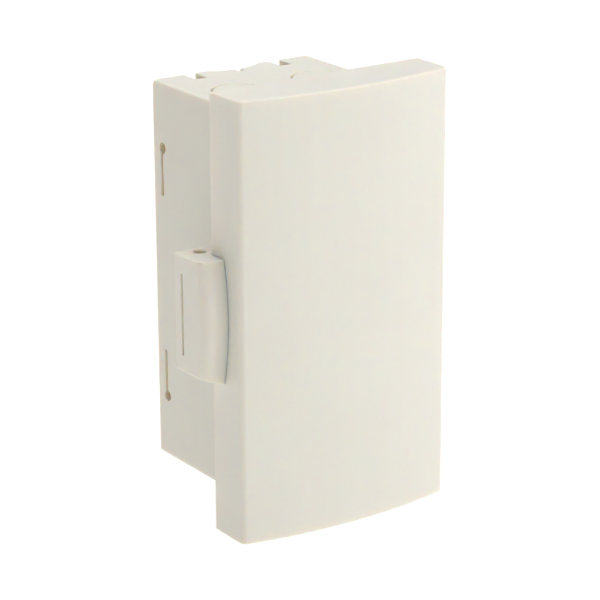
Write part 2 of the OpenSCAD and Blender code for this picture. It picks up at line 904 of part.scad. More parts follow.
module processor() {
    top = pcb_face - 3.4;
    color([0.08, 0.08, 0.09])
        difference() {
            stand_block([processor_l - 1, 6.8, 3.3], processor_at, top - 0.3);
            rod(0.9, processor_at - [processor_l / 2 - 1, 0], top - 3, 2);
        }
    color("silver")
        for (i = [0:processor_pins - 1], side = [-1, 1])
            stand_block([1.2, 0.5, 2.2],
                [processor_at[0] + (i - (processor_pins - 1) / 2) * 2.54,
                    processor_at[1] + side * 3.6], top);
}

module crystal() {
    color("silver") {
        stand_block([4.2, 6.2, 3.4], crystal_at, pcb_face);
        for (side = [-1, 1])
            rod(2.1, crystal_at + [0, side * 3.1], pcb_face, 3.4);
    }
}

module radio_board() {
    color("darkslateblue") {
        stand_block(radio_size, radio_at, pcb_face - radio_lift);
        stand_block([8, 2.4, radio_lift], radio_at - [0, radio_size[1] / 2 - 2], pcb_face);
        stand_block([8, 2.4, radio_lift], radio_at + [0, radio_size[1] / 2 - 2], pcb_face);
    }
}

module radio_shield() {
    color("silver")
        stand_block([10.4, 14, 2.6], radio_at - [0, 5], pcb_face - radio_lift - radio_size[2]);
}

// Coil antenna: close turns round a straight core, standing on the radio board
module antenna_coil() {
    color("peru")
        translate([radio_at[0], pcb_face - radio_lift - radio_size[2], radio_at[1] + 9])
            rotate([90, 0, 0]) {
                cylinder(r = 1.9, h = coil_turns * coil_pitch + 1);
                for (i = [0:coil_turns - 1])
                    translate([0, 0, 1 + (i + 0.5) * coil_pitch])
                        rotate_extrude()
                            translate([1.9, 0])
                                circle(0.6, $fn = 16);
            }
}

// ---------------------------------------------------------------- switches and dials

function dip_x(i) = dip_at[0] + (i - (dip_ways - 1) / 2) * dip_pitch;

module slide_switch_body() {
    slot_l = dip_travel + 1.6;
    color("firebrick")
        difference() {
            stand_block([dip_ways * dip_pitch + 1.6, dip_depth, dip_h], dip_at, pcb_face);
            for (i = [0:dip_ways - 1])
                stand_block([1.5, slot_l, 2.4], [dip_x(i), dip_at[1]], pcb_face - dip_h + 1.6);
        }
}

// Slider number i, stored at the lower end of its slot
module slide_switch(i) {
    color("white")
        stand_block([1.3, 1.4, 2.3],
            [dip_x(i), dip_at[1] - dip_travel / 2], pcb_face - dip_h + 1.5);
}

module slide_switch_1() { slide_switch(0); }
module slide_switch_2() { slide_switch(1); }
module slide_switch_3() { slide_switch(2); }
module slide_switch_4() { slide_switch(3); }

module trimmer_bodies() {
    color("steelblue")
        for (at = trimmer_at)
            difference() {
                stand_block([6.6, 6.6, trimmer_h], at, pcb_face);
                rod(dial_r + 0.1, at, pcb_face - trimmer_h + dial_h + 0.05, dial_h + 1);
            }
}

module trimmer_dial(at) {
    color("white")
        difference() {
            rod(dial_r, at, pcb_face - trimmer_h + dial_h, dial_h);
            stand_block([3.6, 0.7, 1], at, pcb_face - trimmer_h + 0.6);
            stand_block([1.2, 1.6, 1], at + [1.3, 0], pcb_face - trimmer_h + 0.6);
        }
}

module trimmer_dial_1() { trimmer_dial(trimmer_at[0]); }
module trimmer_dial_2() { trimmer_dial(trimmer_at[1]); }

module button_bodies() {
    color([0.2, 0.2, 0.2])
        for (at = button_at)
            difference() {
                stand_block([6, 6, button_h], at, pcb_face);
                rod(plunger_r + 0.08, at, pcb_face - 1.4, button_h);
            }
}

module button_plunger(at) {
    rod(plunger_r, at, pcb_face - 1.45 - button_travel, button_h + plunger_out - 2.2);
}

module learn_button() {
    color("gold")
        button_plunger(button_at[0]);
}

module test_button() {
    color("black")
        button_plunger(button_at[1]);
}

module indicator_lamps() {
    color("limegreen")
        for (at = led_at) {
            rod(1.5, at, pcb_face, 3.2);
            rod(1.8, at, pcb_face, 0.9);
            translate([at[0], pcb_face - 3.2, at[1]])
                sphere(1.5);
        }
}

// ---------------------------------------------------------------- guard and clamp

module touch_guard() {
    guard_h = guard_high - guard_low;
    guard_w = inner_w - 1;
    slot_count = 6;
    color("whitesmoke")
        difference() {
            stand_block([guard_w, guard_h, guard_t], [0, (guard_high + guard_low) / 2], -guard_y);
            for (x = [-guard_screw_x, guard_screw_x], z = guard_screw_z)
                rod(screw_hole_r, [x, z], -guard_y + eps, guard_t + 2 * eps);
            for (c = corners(guard_w / 2, inner_h / 2))
                stand_block([2 * boss_r + 3, 2 * (inner_h / 2 + guard_low) + 2 * boss_r + 3,
                    4 * guard_t], [c[0], c[1]], -guard_y + guard_t);
            for (i = [0:slot_count - 1])
                stand_block([2.4, 24, 4 * guard_t],
                    [(i - (slot_count - 1) / 2) * 7, guard_high - 17], -guard_y + guard_t);
        }
}

module guard_screws() {
    color("silver")
        for (x = [-guard_screw_x, guard_screw_x], z = guard_screw_z)
            screw([x, z], -guard_y - guard_t, guard_t + 7, hr = 2.2);
}

module cable_clamp() {
    plane = -box_back - clamp_post_h;
    color("dimgray")
        difference() {
            union() {
                stand_block(clamp_bar, [0, clamp_post_z], plane);
                for (z = [-2.4, 2.4])
                    stand_block([10, 1.2, 1], [0, clamp_post_z + z], plane + 1);
            }
            for (x = [-clamp_post_x, clamp_post_x])
                rod(screw_hole_r, [x, clamp_post_z], plane + eps, clamp_bar[2] + 2 * eps);
        }
}

module clamp_screws() {
    color("silver")
        for (x = [-clamp_post_x, clamp_post_x])
            screw([x, clamp_post_z], -box_back - clamp_post_h - clamp_bar[2],
                clamp_bar[2] + 9);
}

// ---------------------------------------------------------------- output

rear_box();
front_frame();
frame_screws();
front_cover();
hinge_ear();
hinge_pin();
latch_spindle();
circuit_board();
board_screws();
transformer_core();
transformer_winding();
relay_open();
relay_close();
mains_terminal_block();
mains_terminal_screws();
control_terminal_block();
control_terminal_screws();
fuse_link();
fuse_clips();
varistor();
bulk_capacitor();
small_capacitors();
heat_sink();
voltage_regulator();
rectifier();
processor_socket();
processor();
crystal();
radio_board();
radio_shield();
antenna_coil();
slide_switch_body();
slide_switch_1();
slide_switch_2();
slide_switch_3();
slide_switch_4();
trimmer_bodies();
trimmer_dial_1();
trimmer_dial_2();
button_bodies();
learn_button();
test_button();
indicator_lamps();
touch_guard();
guard_screws();
cable_clamp();
clamp_screws();
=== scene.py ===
"""Looks for the wall control box of a garage door opener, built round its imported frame."""

from __future__ import annotations

import logging
import math
from dataclasses import dataclass
from enum import Enum

import bmesh
import bpy
from mathutils import Matrix, Vector


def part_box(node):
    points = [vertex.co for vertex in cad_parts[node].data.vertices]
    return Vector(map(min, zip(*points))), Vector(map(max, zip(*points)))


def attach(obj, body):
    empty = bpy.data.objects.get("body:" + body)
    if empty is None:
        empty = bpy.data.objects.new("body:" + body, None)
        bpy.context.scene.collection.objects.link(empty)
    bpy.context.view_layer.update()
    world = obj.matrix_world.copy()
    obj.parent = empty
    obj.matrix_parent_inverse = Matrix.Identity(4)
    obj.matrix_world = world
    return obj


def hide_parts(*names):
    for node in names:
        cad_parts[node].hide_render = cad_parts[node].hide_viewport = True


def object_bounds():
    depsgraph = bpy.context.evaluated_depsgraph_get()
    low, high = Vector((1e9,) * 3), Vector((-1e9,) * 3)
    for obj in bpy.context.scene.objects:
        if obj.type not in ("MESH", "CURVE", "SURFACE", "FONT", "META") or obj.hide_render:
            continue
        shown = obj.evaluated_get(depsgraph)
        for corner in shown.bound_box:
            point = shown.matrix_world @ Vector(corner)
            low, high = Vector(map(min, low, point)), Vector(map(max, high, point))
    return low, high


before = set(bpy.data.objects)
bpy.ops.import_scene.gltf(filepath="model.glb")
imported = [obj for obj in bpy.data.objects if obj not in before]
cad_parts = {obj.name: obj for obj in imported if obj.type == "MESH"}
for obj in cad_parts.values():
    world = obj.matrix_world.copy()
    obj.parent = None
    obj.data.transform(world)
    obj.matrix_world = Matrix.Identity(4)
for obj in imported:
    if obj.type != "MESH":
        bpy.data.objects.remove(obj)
cad_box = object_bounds()

LOG = logging.getLogger("control_box")
MM = 0.001
Colour = tuple[float, float, float]
Point = tuple[float, float, float]
SUNK = 0.02 * MM  # how deep a visual piece is set into what it stands on
FORWARD = Vector((0, -1, 0))
WELD_REACH = 0.002 * MM
FLAT_ANGLE = math.radians(0.3)
EDGE_ANGLE = math.radians(35)
EVEN_WEIGHT = 80


class Part(Enum):
    """The bodies that the pieces of this object ride on."""

    BASE = "base"
    COVER = "cover"


class Axis(Enum):
    """A direction of the row frame, as the index of its coordinate."""

    ACROSS = 0
    DEPTH = 1
    UPRIGHT = 2


# ------------------------------------------------------------------ finishes


class Recipe:
    """One material's node tree, with short calls for the nodes that the finishes share."""

    def __init__(self, name: str) -> None:
        """Starts a material that holds one Principled shader.

        Args:
            name: The finish's name.
        """
        self.material = bpy.data.materials.new(name)
        self.material.use_nodes = True
        self.tree = self.material.node_tree
        self.surface = self.tree.nodes["Principled BSDF"]
        self.place = self.tree.nodes.new("ShaderNodeTexCoord").outputs["Object"]

    def add(self, kind: str, **settings: object) -> bpy.types.Node:
        """Adds a node.

        Args:
            kind: The node's type, without its "ShaderNode" prefix.
            settings: Node properties to set.

        Returns:
            The new node.
        """
        node = self.tree.nodes.new("ShaderNode" + kind)
        for key, value in settings.items():
            setattr(node, key, value)
        return node

    def join(self, source: bpy.types.NodeSocket, target: bpy.types.NodeSocket) -> None:
        """Links one socket to another."""
        self.tree.links.new(source, target)

    def scaled(self, factors: Point) -> bpy.types.NodeSocket:
        """The place on the object, multiplied along each axis.

        Args:
            factors: The factor for each axis.

        Returns:
            The multiplied place.
        """
        node = self.add("VectorMath", operation="MULTIPLY")
        self.join(self.place, node.inputs[0])
        node.inputs[1].default_value = factors
        return node.outputs[0]

    def noise(
        self, scale: float, detail: float = 3.0, at: bpy.types.NodeSocket | None = None
    ) -> bpy.types.NodeSocket:
        """A noise pattern.

        Args:
            scale: Features per metre, before the place is multiplied.
            detail: How many finer layers are added.
            at: The coordinates to read, or None for the place on the object.

        Returns:
            The pattern's value from 0 to 1.
        """
        node = self.add("TexNoise")
        node.inputs["Scale"].default_value = scale
        node.inputs["Detail"].default_value = detail
        self.join(at or self.place, node.inputs["Vector"])
        return node.outputs["Fac"]

    def maths(
        self,
        operation: str,
        first: bpy.types.NodeSocket,
        second: bpy.types.NodeSocket | float = 0.0,
    ) -> bpy.types.NodeSocket:
        """A sum, product or other step on one or two values.

        Args:
            operation: The step, in Blender's own word for it.
            first: The first value.
            second: The second value or number.

        Returns:
            The result.
        """
        node = self.add("Math", operation=operation)
        self.join(first, node.inputs[0])
        if isinstance(second, float):
            node.inputs[1].default_value = second
        else:
            self.join(second, node.inputs[1])
        return node.outputs[0]

    def spread(
        self, value: bpy.types.NodeSocket, low: float, high: float, start: float, end: float
    ) -> bpy.types.NodeSocket:
        """Maps a value from low..high to start..end, held inside those ends.

        Args:
            value: The value.
            low: Where it gives start.
            high: Where it gives end.
            start: The first end of the result.
            end: The other end.

        Returns:
            The mapped value.
        """
        node = self.add("MapRange")
        self.join(value, node.inputs["Value"])
        for key, number in zip(
            ("From Min", "From Max", "To Min", "To Max"), (low, high, start, end)
        ):
            node.inputs[key].default_value = number
        return node.outputs["Result"]

    def uneven(
        self, pattern: bpy.types.NodeSocket, low: float, high: float
    ) -> bpy.types.NodeSocket:
        """Lets a value wander between two ends with a noise pattern.

        Args:
            pattern: The noise, whose values lie mostly between 0.3 and 0.7.
            low: The value where the pattern is low.
            high: The value where it is high.

        Returns:
            The wandering value.
        """
        return self.spread(pattern, 0.3, 0.7, low, high)

    def mixed(
        self,
        share: bpy.types.NodeSocket,
        first: Colour | bpy.types.NodeSocket,
        second: Colour | bpy.types.NodeSocket,
    ) -> bpy.types.NodeSocket:
        """A mix of two colours by a value.

        Args:
            share: How much of the second colour there is, from 0 to 1.
            first: The first colour.
            second: The second colour.

        Returns:
            The mixed colour.
        """
        node = self.add("Mix", data_type="RGBA")
        self.join(share, node.inputs["Factor"])
        for slot, colour in ((6, first), (7, second)):
            if isinstance(colour, tuple):
                node.inputs[slot].default_value = (*colour, 1.0)
            else:
                self.join(colour, node.inputs[slot])
        return node.outputs[2]

    def part_of_place(self, axis: Axis) -> bpy.types.NodeSocket:
        """One coordinate of the place on the object, in metres.

        Args:
            axis: Which coordinate.

        Returns:
            The coordinate.
        """
        node = self.add("SeparateXYZ")
        self.join(self.place, node.inputs[0])
        return node.outputs[axis.value]

    def bumped(
        self, heights: list[tuple[bpy.types.NodeSocket, float]], edge_radius: float = 0.0
    ) -> None:
        """Gives the surface its relief.

        Args:
            heights: Patterns, each with its depth in metres.
            edge_radius: How far light rolls round the edges, in metres, or 0 for crisp edges.
        """
        last = None
        if edge_radius:
            rounded = self.add("Bevel", samples=4)
            rounded.inputs["Radius"].default_value = edge_radius
            last = rounded.outputs["Normal"]
        for value, depth in heights:
            bump = self.add("Bump")
            bump.inputs["Distance"].default_value = depth
            self.join(value, bump.inputs["Height"])
            if last:
                self.join(last, bump.inputs["Normal"])
            last = bump.outputs["Normal"]
        self.join(last, self.surface.inputs["Normal"])

    def edge_share(self, radius: float) -> bpy.types.NodeSocket:
        """A value that is 0 on flats and rises to 1 on the outer edges.

        Args:
            radius: How far an edge reaches, in metres.

        Returns:
            The value.
        """
        rounded = self.add("Bevel", samples=4)
        rounded.inputs["Radius"].default_value = radius
        dot = self.add("VectorMath", operation="DOT_PRODUCT")
        self.join(rounded.outputs["Normal"], dot.inputs[0])
        self.join(self.add("NewGeometry").outputs["Normal"], dot.inputs[1])
        return self.spread(dot.outputs["Value"], 0.995, 0.85, 0.0, 1.0)

    def fixed(self, **numbers: float | tuple) -> None:
        """Sets numbers on the shader's own sockets, with _ for a space in a name."""
        for key, value in numbers.items():
            self.surface.inputs[key.replace("_", " ")].default_value = value


@dataclass(frozen=True)
class MouldedPlastic:
    """Injection-moulded plastic with a spark-eroded grain, flow marks, rubbed edges and, where set,
    a painted glow on the inner faces.
    """

    name: str
    tone: Colour
    shade: Colour
    roughness: float = 0.45
    grain: float = 2600.0
    grain_depth: float = 0.00003
    edge: float = 0.0004
    glow: float = 0.0
    glow_depth: float = 0.003
    # painted glow: a warmer, brighter colour on the inner faces that stands in for light soaking
    # through the thin walls; the half-sizes below bound where it is laid, all 0 for none
    painted_glow_tone: Colour = (0.93, 0.85, 0.68)
    painted_glow_half: Point = (0.0, 0.0, 0.0)
    flow_share: float = 0.35
    rubbed_gain: float = 1.05

    def make(self) -> bpy.types.Material:
        """Builds the material.

        Returns:
            The material.
        """
        r = Recipe(self.name)
        clouds = r.noise(22.0, 4.0)
        flow = r.noise(1.0, 5.0, r.scaled((260.0, 180.0, 14.0)))
        share = r.maths(
            "ADD",
            r.maths("MULTIPLY", clouds, 1.0 - self.flow_share),
            r.maths("MULTIPLY", flow, self.flow_share),
        )
        toned = r.mixed(r.spread(share, 0.36, 0.64, 0.0, 1.0), self.tone, self.shade)
        rubbed = tuple(min(1.0, c * self.rubbed_gain + 0.01) for c in self.tone)
        edges = r.maths("MULTIPLY", r.edge_share(2.0 * self.edge), r.noise(160.0, 5.0))
        worn_and_painted_glow = r.mixed(edges, toned, rubbed)
        # paints the warm glow of light through the thin walls onto the inner faces
        if any(self.painted_glow_half):
            worn_and_painted_glow = r.mixed(self.inside(r), worn_and_painted_glow, self.painted_glow_tone)
        r.join(worn_and_painted_glow, r.surface.inputs["Base Color"])
        pits = r.noise(self.grain, 2.0)
        satin = r.uneven(r.noise(70.0, 5.0), self.roughness - 0.05, self.roughness + 0.06)
        r.join(
            r.maths("SUBTRACT", satin, r.maths("MULTIPLY", edges, 0.12)),
            r.surface.inputs["Roughness"],
        )
        r.bumped(
            [(pits, self.grain_depth), (r.noise(120.0, 3.0), 0.00006)], edge_radius=self.edge
        )
        r.fixed(Specular_IOR_Level=0.42)
        if self.glow:
            r.fixed(
                Subsurface_Weight=self.glow,
                Subsurface_Radius=(1.0, 0.62, 0.3),
                Subsurface_Scale=self.glow_depth,
            )
        return r.material

    def inside(self, r: Recipe) -> bpy.types.NodeSocket:
        """A value that is 1 on the inner faces, where a warmer, brighter colour is painted in as
        the glow of light soaking through the thin walls, and 0 outside.

        Args:
            r: The recipe that the test is added to.

        Returns:
            The share of the painted glow colour.
        """
        share = None
        for axis, half in zip(Axis, self.painted_glow_half):
            place = r.part_of_place(axis)
            if axis is Axis.DEPTH:
                near = r.spread(place, -half - 0.1 * MM, -half, 1.0, 0.0)
            else:
                size = r.maths("ABSOLUTE", place)
                near = r.spread(size, half, half + 0.8 * MM, 1.0, 0.0)
            share = r.maths("MULTIPLY", share, near) if share else near
        return share


@dataclass(frozen=True)
class PlatedMetal:
    """Plated or drawn metal with fine scratches along one axis and dull patches."""

    name: str
    tone: Colour
    dull: Colour
    roughness: float = 0.28
    drawn_along: Axis = Axis.ACROSS

    def make(self) -> bpy.types.Material:
        """Builds the material.

        Returns:
            The material.
        """
        r = Recipe(self.name)
        stretch = [4200.0, 4200.0, 4200.0]
        stretch[self.drawn_along.value] = 160.0
        lines = r.noise(1.0, 4.0, r.scaled(tuple(stretch)))
        patches = r.noise(420.0, 5.0)
        r.join(
            r.mixed(r.spread(patches, 0.35, 0.7, 0.0, 1.0), self.tone, self.dull),
            r.surface.inputs["Base Color"],
        )
        r.join(
            r.uneven(lines, self.roughness - 0.08, self.roughness + 0.14),
            r.surface.inputs["Roughness"],
        )
        r.bumped([(lines, 0.00001)], edge_radius=0.00012)
        r.fixed(Metallic=1.0)
        return r.material


@dataclass(frozen=True)
class BoardLaminate:
    """Solder mask over glass-fibre laminate, with its weave just showing."""

    name: str
    mask: Colour
    deep: Colour
    bare: Colour = (0.58, 0.44, 0.26)
    bare_from: float = 1.0
    weave: float = 900.0

    def make(self) -> bpy.types.Material:
        """Builds the material.

        Returns:
            The material.
        """
        r = Recipe(self.name)
        warp = r.add("TexWave", wave_type="BANDS", bands_direction="X")
        weft = r.add("TexWave", wave_type="BANDS", bands_direction="Z")
        for thread in (warp, weft):
            thread.inputs["Scale"].default_value = self.weave / math.tau
            thread.inputs["Distortion"].default_value = 0.6
            r.join(r.place, thread.inputs["Vector"])
        cloth = r.maths("MULTIPLY", warp.outputs["Fac"], weft.outputs["Fac"])
        patchy = r.maths("ADD", r.maths("MULTIPLY", cloth, 0.3), r.noise(90.0, 5.0))
        front = r.mixed(r.spread(patchy, 0.35, 0.85, 0.0, 1.0), self.mask, self.deep)
        behind = r.mixed(cloth, self.bare, tuple(c * 0.85 for c in self.bare))
        depth = r.part_of_place(Axis.DEPTH)
        back = r.spread(depth, self.bare_from - 0.05 * MM, self.bare_from, 0.0, 1.0)
        r.join(r.mixed(back, front, behind), r.surface.inputs["Base Color"])
        r.join(r.uneven(r.noise(240.0), 0.2, 0.36), r.surface.inputs["Roughness"])
        r.bumped([(cloth, 0.00001), (r.noise(500.0), 0.00002)])
        r.fixed(Coat_Weight=0.35, Coat_Roughness=0.12)
        return r.material


@dataclass(frozen=True)
class Banded:
    """A stack or winding that shows as fine bands along one axis."""

    name: str
    tone: Colour
    gap: Colour
    pitch: float
    along: Axis = Axis.UPRIGHT
    roughness: float = 0.4
    metallic: float = 0.0

    def make(self) -> bpy.types.Material:
        """Builds the material.

        Returns:
            The material.
        """
        r = Recipe(self.name)
        turns = r.maths("MULTIPLY", r.part_of_place(self.along), math.tau / self.pitch)
        wobble = r.maths("MULTIPLY", r.noise(300.0, 3.0), 1.6)
        wave = r.maths("SINE", r.maths("ADD", turns, wobble))
        band = r.spread(wave, -1.0, -0.55, 0.0, 1.0)
        stained = r.mixed(r.noise(150.0, 5.0), self.tone, tuple(c * 0.72 for c in self.tone))
        r.join(r.mixed(band, self.gap, stained), r.surface.inputs["Base Color"])
        r.join(
            r.uneven(r.noise(380.0), self.roughness - 0.08, self.roughness + 0.12),
            r.surface.inputs["Roughness"],
        )
        r.bumped([(band, 0.00006), (r.noise(2500.0), 0.00002)], edge_radius=0.00015)
        r.fixed(Metallic=self.metallic)
        return r.material


@dataclass(frozen=True)
class ShrunkSleeve:
    """A capacitor's shrunk film sleeve with one pale stripe, and its bare pressed top."""

    name: str
    film: Colour
    stripe: Colour
    middle: tuple[float, float]
    radius: float
    top: float

    def make(self) -> bpy.types.Material:
        """Builds the material.

        Returns:
            The material.
        """
        r = Recipe(self.name)
        across = r.maths("ADD", r.part_of_place(Axis.ACROSS), -self.middle[0])
        up = r.maths("ADD", r.part_of_place(Axis.UPRIGHT), -self.middle[1])
        away = r.maths(
            "SQRT", r.maths("ADD", r.maths("MULTIPLY", across, across), r.maths("MULTIPLY", up, up))
        )
        band = r.spread(across, 0.72 * self.radius, 0.76 * self.radius, 0.0, 1.0)
        film = r.mixed(band, self.film, self.stripe)
        depth = r.part_of_place(Axis.DEPTH)
        ahead = r.spread(depth, self.top + 0.0004, self.top + 0.0002, 0.0, 1.0)
        bare = r.maths(
            "MULTIPLY", ahead, r.spread(away, 0.86 * self.radius, 0.82 * self.radius, 0.0, 1.0)
        )
        can = r.mixed(r.noise(900.0, 4.0), (0.62, 0.63, 0.64), (0.45, 0.46, 0.47))
        r.join(r.mixed(bare, film, can), r.surface.inputs["Base Color"])
        r.join(bare, r.surface.inputs["Metallic"])
        r.join(r.uneven(r.noise(600.0), 0.22, 0.36), r.surface.inputs["Roughness"])
        r.bumped([(r.noise(420.0, 4.0), 0.00006)], edge_radius=0.0004)
        r.fixed(Coat_Weight=0.3, Coat_Roughness=0.1)
        return r.material


@dataclass(frozen=True)
class ClearGlass:
    """A glass tube with faint streaks."""

    name: str

    def make(self) -> bpy.types.Material:
        """Builds the material.

        Returns:
            The material.
        """
        r = Recipe(self.name)
        streaks = r.noise(1.0, 3.0, r.scaled((60.0, 900.0, 900.0)))
        r.join(
            r.mixed(streaks, (0.93, 0.97, 0.96), (0.84, 0.9, 0.9)), r.surface.inputs["Base Color"]
        )
        r.join(r.uneven(streaks, 0.02, 0.07), r.surface.inputs["Roughness"])
        r.fixed(Transmission_Weight=0.9, IOR=1.5)
        return r.material


@dataclass(frozen=True)
class Lens:
    """A coloured diffusing lens of an indicator lamp."""

    name: str
    tone: Colour
    heart: Colour

    def make(self) -> bpy.types.Material:
        """Builds the material.

        Returns:
            The material.
        """
        r = Recipe(self.name)
        r.join(
            r.mixed(r.noise(700.0, 4.0), self.tone, self.heart), r.surface.inputs["Base Color"]
        )
        r.join(r.uneven(r.noise(1500.0), 0.12, 0.24), r.surface.inputs["Roughness"])
        r.fixed(
            Subsurface_Weight=0.7,
            Subsurface_Radius=(0.6, 1.0, 0.4),
            Subsurface_Scale=0.0015,
            Coat_Weight=0.5,
            Coat_Roughness=0.06,
        )
        return r.material


class Finishes:
    """Every finish of the object, each made once and asked for by name."""

    def __init__(self) -> None:
        """Makes the finishes that more than one sub-assembly uses."""
        self.made: dict[str, bpy.types.Material] = {}
        recipes = [
            MouldedPlastic(
                "ivory_cover_plastic", (0.80, 0.768, 0.685), (0.785, 0.750, 0.664),
                roughness=0.40, glow=0.8, glow_depth=0.0035,
            ),
            MouldedPlastic(
                "ivory_box_plastic", (0.79, 0.755, 0.664), (0.772, 0.735, 0.642),
                roughness=0.44, glow=0.8, glow_depth=0.0040,
                # the inner faces get the painted glow of light soaking through the thin walls
                painted_glow_half=(0.0358, 0.0006, 0.0778),
            ),
            MouldedPlastic(
                "ivory_ear_plastic", (0.80, 0.768, 0.685), (0.785, 0.750, 0.664),
                roughness=0.40, edge=0.9 * MM, glow=0.8, glow_depth=0.0035,
            ),
            PlatedMetal("zinc_plate", (0.66, 0.67, 0.66), (0.5, 0.5, 0.48)),
            PlatedMetal("tinned_can", (0.72, 0.72, 0.7), (0.56, 0.56, 0.54), roughness=0.34),
            PlatedMetal(
                "sink_aluminium", (0.5, 0.51, 0.52), (0.38, 0.39, 0.4), roughness=0.4,
                drawn_along=Axis.DEPTH,
            ),
            PlatedMetal(
                "solder", (0.7, 0.71, 0.72), (0.52, 0.53, 0.55), roughness=0.24,
                drawn_along=Axis.UPRIGHT,
            ),
            PlatedMetal(
                "tinned_brass", (0.74, 0.66, 0.44), (0.58, 0.5, 0.32), roughness=0.3,
            ),
            BoardLaminate(
                "main_board_mask", (0.022, 0.17, 0.062), (0.012, 0.105, 0.036),
                bare_from=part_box("circuit_board")[0].y + 0.2 * MM,
            ),
            BoardLaminate("track_mask", (0.05, 0.27, 0.10), (0.03, 0.19, 0.065)),
            BoardLaminate("radio_board_mask", (0.02, 0.06, 0.24), (0.012, 0.035, 0.15)),
            Banded(
                "core_laminations", (0.17, 0.17, 0.18), (0.05, 0.05, 0.055), 0.0005,
                roughness=0.42, metallic=0.8,
            ),
            Banded(
                "winding_tape", (0.74, 0.50, 0.06), (0.52, 0.33, 0.03), 0.0042,
                along=Axis.DEPTH, roughness=0.3,
            ),
            Banded(
                "copper_wire", (0.66, 0.28, 0.12), (0.4, 0.15, 0.06), 0.0016,
                along=Axis.DEPTH, roughness=0.28, metallic=1.0,
            ),
            MouldedPlastic(
                "relay_blue_plastic", (0.025, 0.11, 0.40), (0.018, 0.085, 0.33),
                roughness=0.27, grain=1800.0, edge=0.0003,
            ),
            MouldedPlastic(
                "terminal_green_plastic", (0.045, 0.29, 0.12), (0.03, 0.22, 0.09),
                roughness=0.42, edge=0.0002,
            ),
            MouldedPlastic(
                "black_plastic", (0.022, 0.022, 0.024), (0.034, 0.034, 0.036),
                roughness=0.5, edge=0.0002,
            ),
            MouldedPlastic(
                "white_plastic", (0.78, 0.78, 0.75), (0.71, 0.71, 0.67),
                roughness=0.42, edge=0.00015, glow=0.2, glow_depth=0.001,
            ),
            MouldedPlastic(
                "switch_red_plastic", (0.46, 0.03, 0.03), (0.36, 0.02, 0.022),
                roughness=0.38, edge=0.0002,
            ),
            MouldedPlastic(
                "button_yellow_plastic", (0.80, 0.52, 0.04), (0.70, 0.43, 0.03),
                roughness=0.36, edge=0.0002,
            ),
            MouldedPlastic(
                "button_grey_plastic", (0.19, 0.19, 0.2), (0.14, 0.14, 0.15),
                roughness=0.4, edge=0.0002,
            ),
            MouldedPlastic(
                "varistor_blue_lacquer", (0.03, 0.16, 0.37), (0.02, 0.11, 0.28),
                roughness=0.3, grain=900.0, grain_depth=0.00008, edge=0.0005,
            ),
            MouldedPlastic(
                "guard_sheet", (0.70, 0.70, 0.67), (0.62, 0.62, 0.59),
                roughness=0.46, edge=0.0002, glow=0.35, glow_depth=0.002,
            ),
            MouldedPlastic(
                "clamp_grey_plastic", (0.26, 0.27, 0.28), (0.2, 0.21, 0.22),
                roughness=0.48, edge=0.0003,
            ),
            MouldedPlastic(
                "resistor_body", (0.55, 0.42, 0.24), (0.46, 0.34, 0.18),
                roughness=0.34, grain=900.0, edge=0.0002,
            ),
            MouldedPlastic(
                "marking_white", (0.8, 0.8, 0.76), (0.68, 0.68, 0.64),
                roughness=0.6, edge=0.00005,
            ),
            MouldedPlastic("band_brown", (0.13, 0.04, 0.015), (0.1, 0.03, 0.01), edge=0.00005),
            MouldedPlastic("band_red", (0.5, 0.02, 0.015), (0.4, 0.015, 0.01), edge=0.00005),
            MouldedPlastic("band_gold", (0.5, 0.32, 0.06), (0.4, 0.25, 0.04), edge=0.00005),
            ClearGlass("fuse_glass"),
            Lens("lamp_green_lens", (0.08, 0.52, 0.14), (0.2, 0.7, 0.26)),
        ]
        for recipe in recipes:
            self.made[recipe.name] = recipe.make()

    def keep(self, recipe: ShrunkSleeve) -> str:
        """Makes one more finish.

        Args:
            recipe: The finish to make.

        Returns:
            Its name.
        """
        self.made[recipe.name] = recipe.make()
        return recipe.name

    def dress(self, node: str, finish: str) -> None:
        """Gives a CAD node one finish all over.

        Args:
            node: The CAD node.
            finish: The finish's name.
        """
        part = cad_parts[node]
        part.data.materials.clear()
        part.data.materials.append(self.made[finish])
        for polygon in part.data.polygons:
            polygon.material_index = 0


def soften(node: str, width: float, segments: int = 2) -> None:
    """Rolls a CAD node's crisp edges over, as a mould leaves them.

    Args:
        node: The CAD node.
        width: The width of the rolled edge, in metres.
        segments: How many faces go round it.
    """
    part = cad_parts[node]
    for polygon in part.data.polygons:
        polygon.use_smooth = True
    weld = part.modifiers.new("weld", "WELD")
    weld.merge_threshold = WELD_REACH
    flat = part.modifiers.new("flats", "DECIMATE")
    flat.decimate_type = "DISSOLVE"
    flat.angle_limit = FLAT_ANGLE
    roll = part.modifiers.new("rolled_edges", "BEVEL")
    roll.width = width
    roll.segments = segments
    roll.limit_method = "ANGLE"
    roll.angle_limit = EDGE_ANGLE
    roll.use_clamp_overlap = False
    roll.miter_outer = "MITER_ARC"
    even = part.modifiers.new("even_light", "WEIGHTED_NORMAL")
    even.weight = EVEN_WEIGHT
    even.keep_sharp = False


# ------------------------------------------------------------------ mesh help


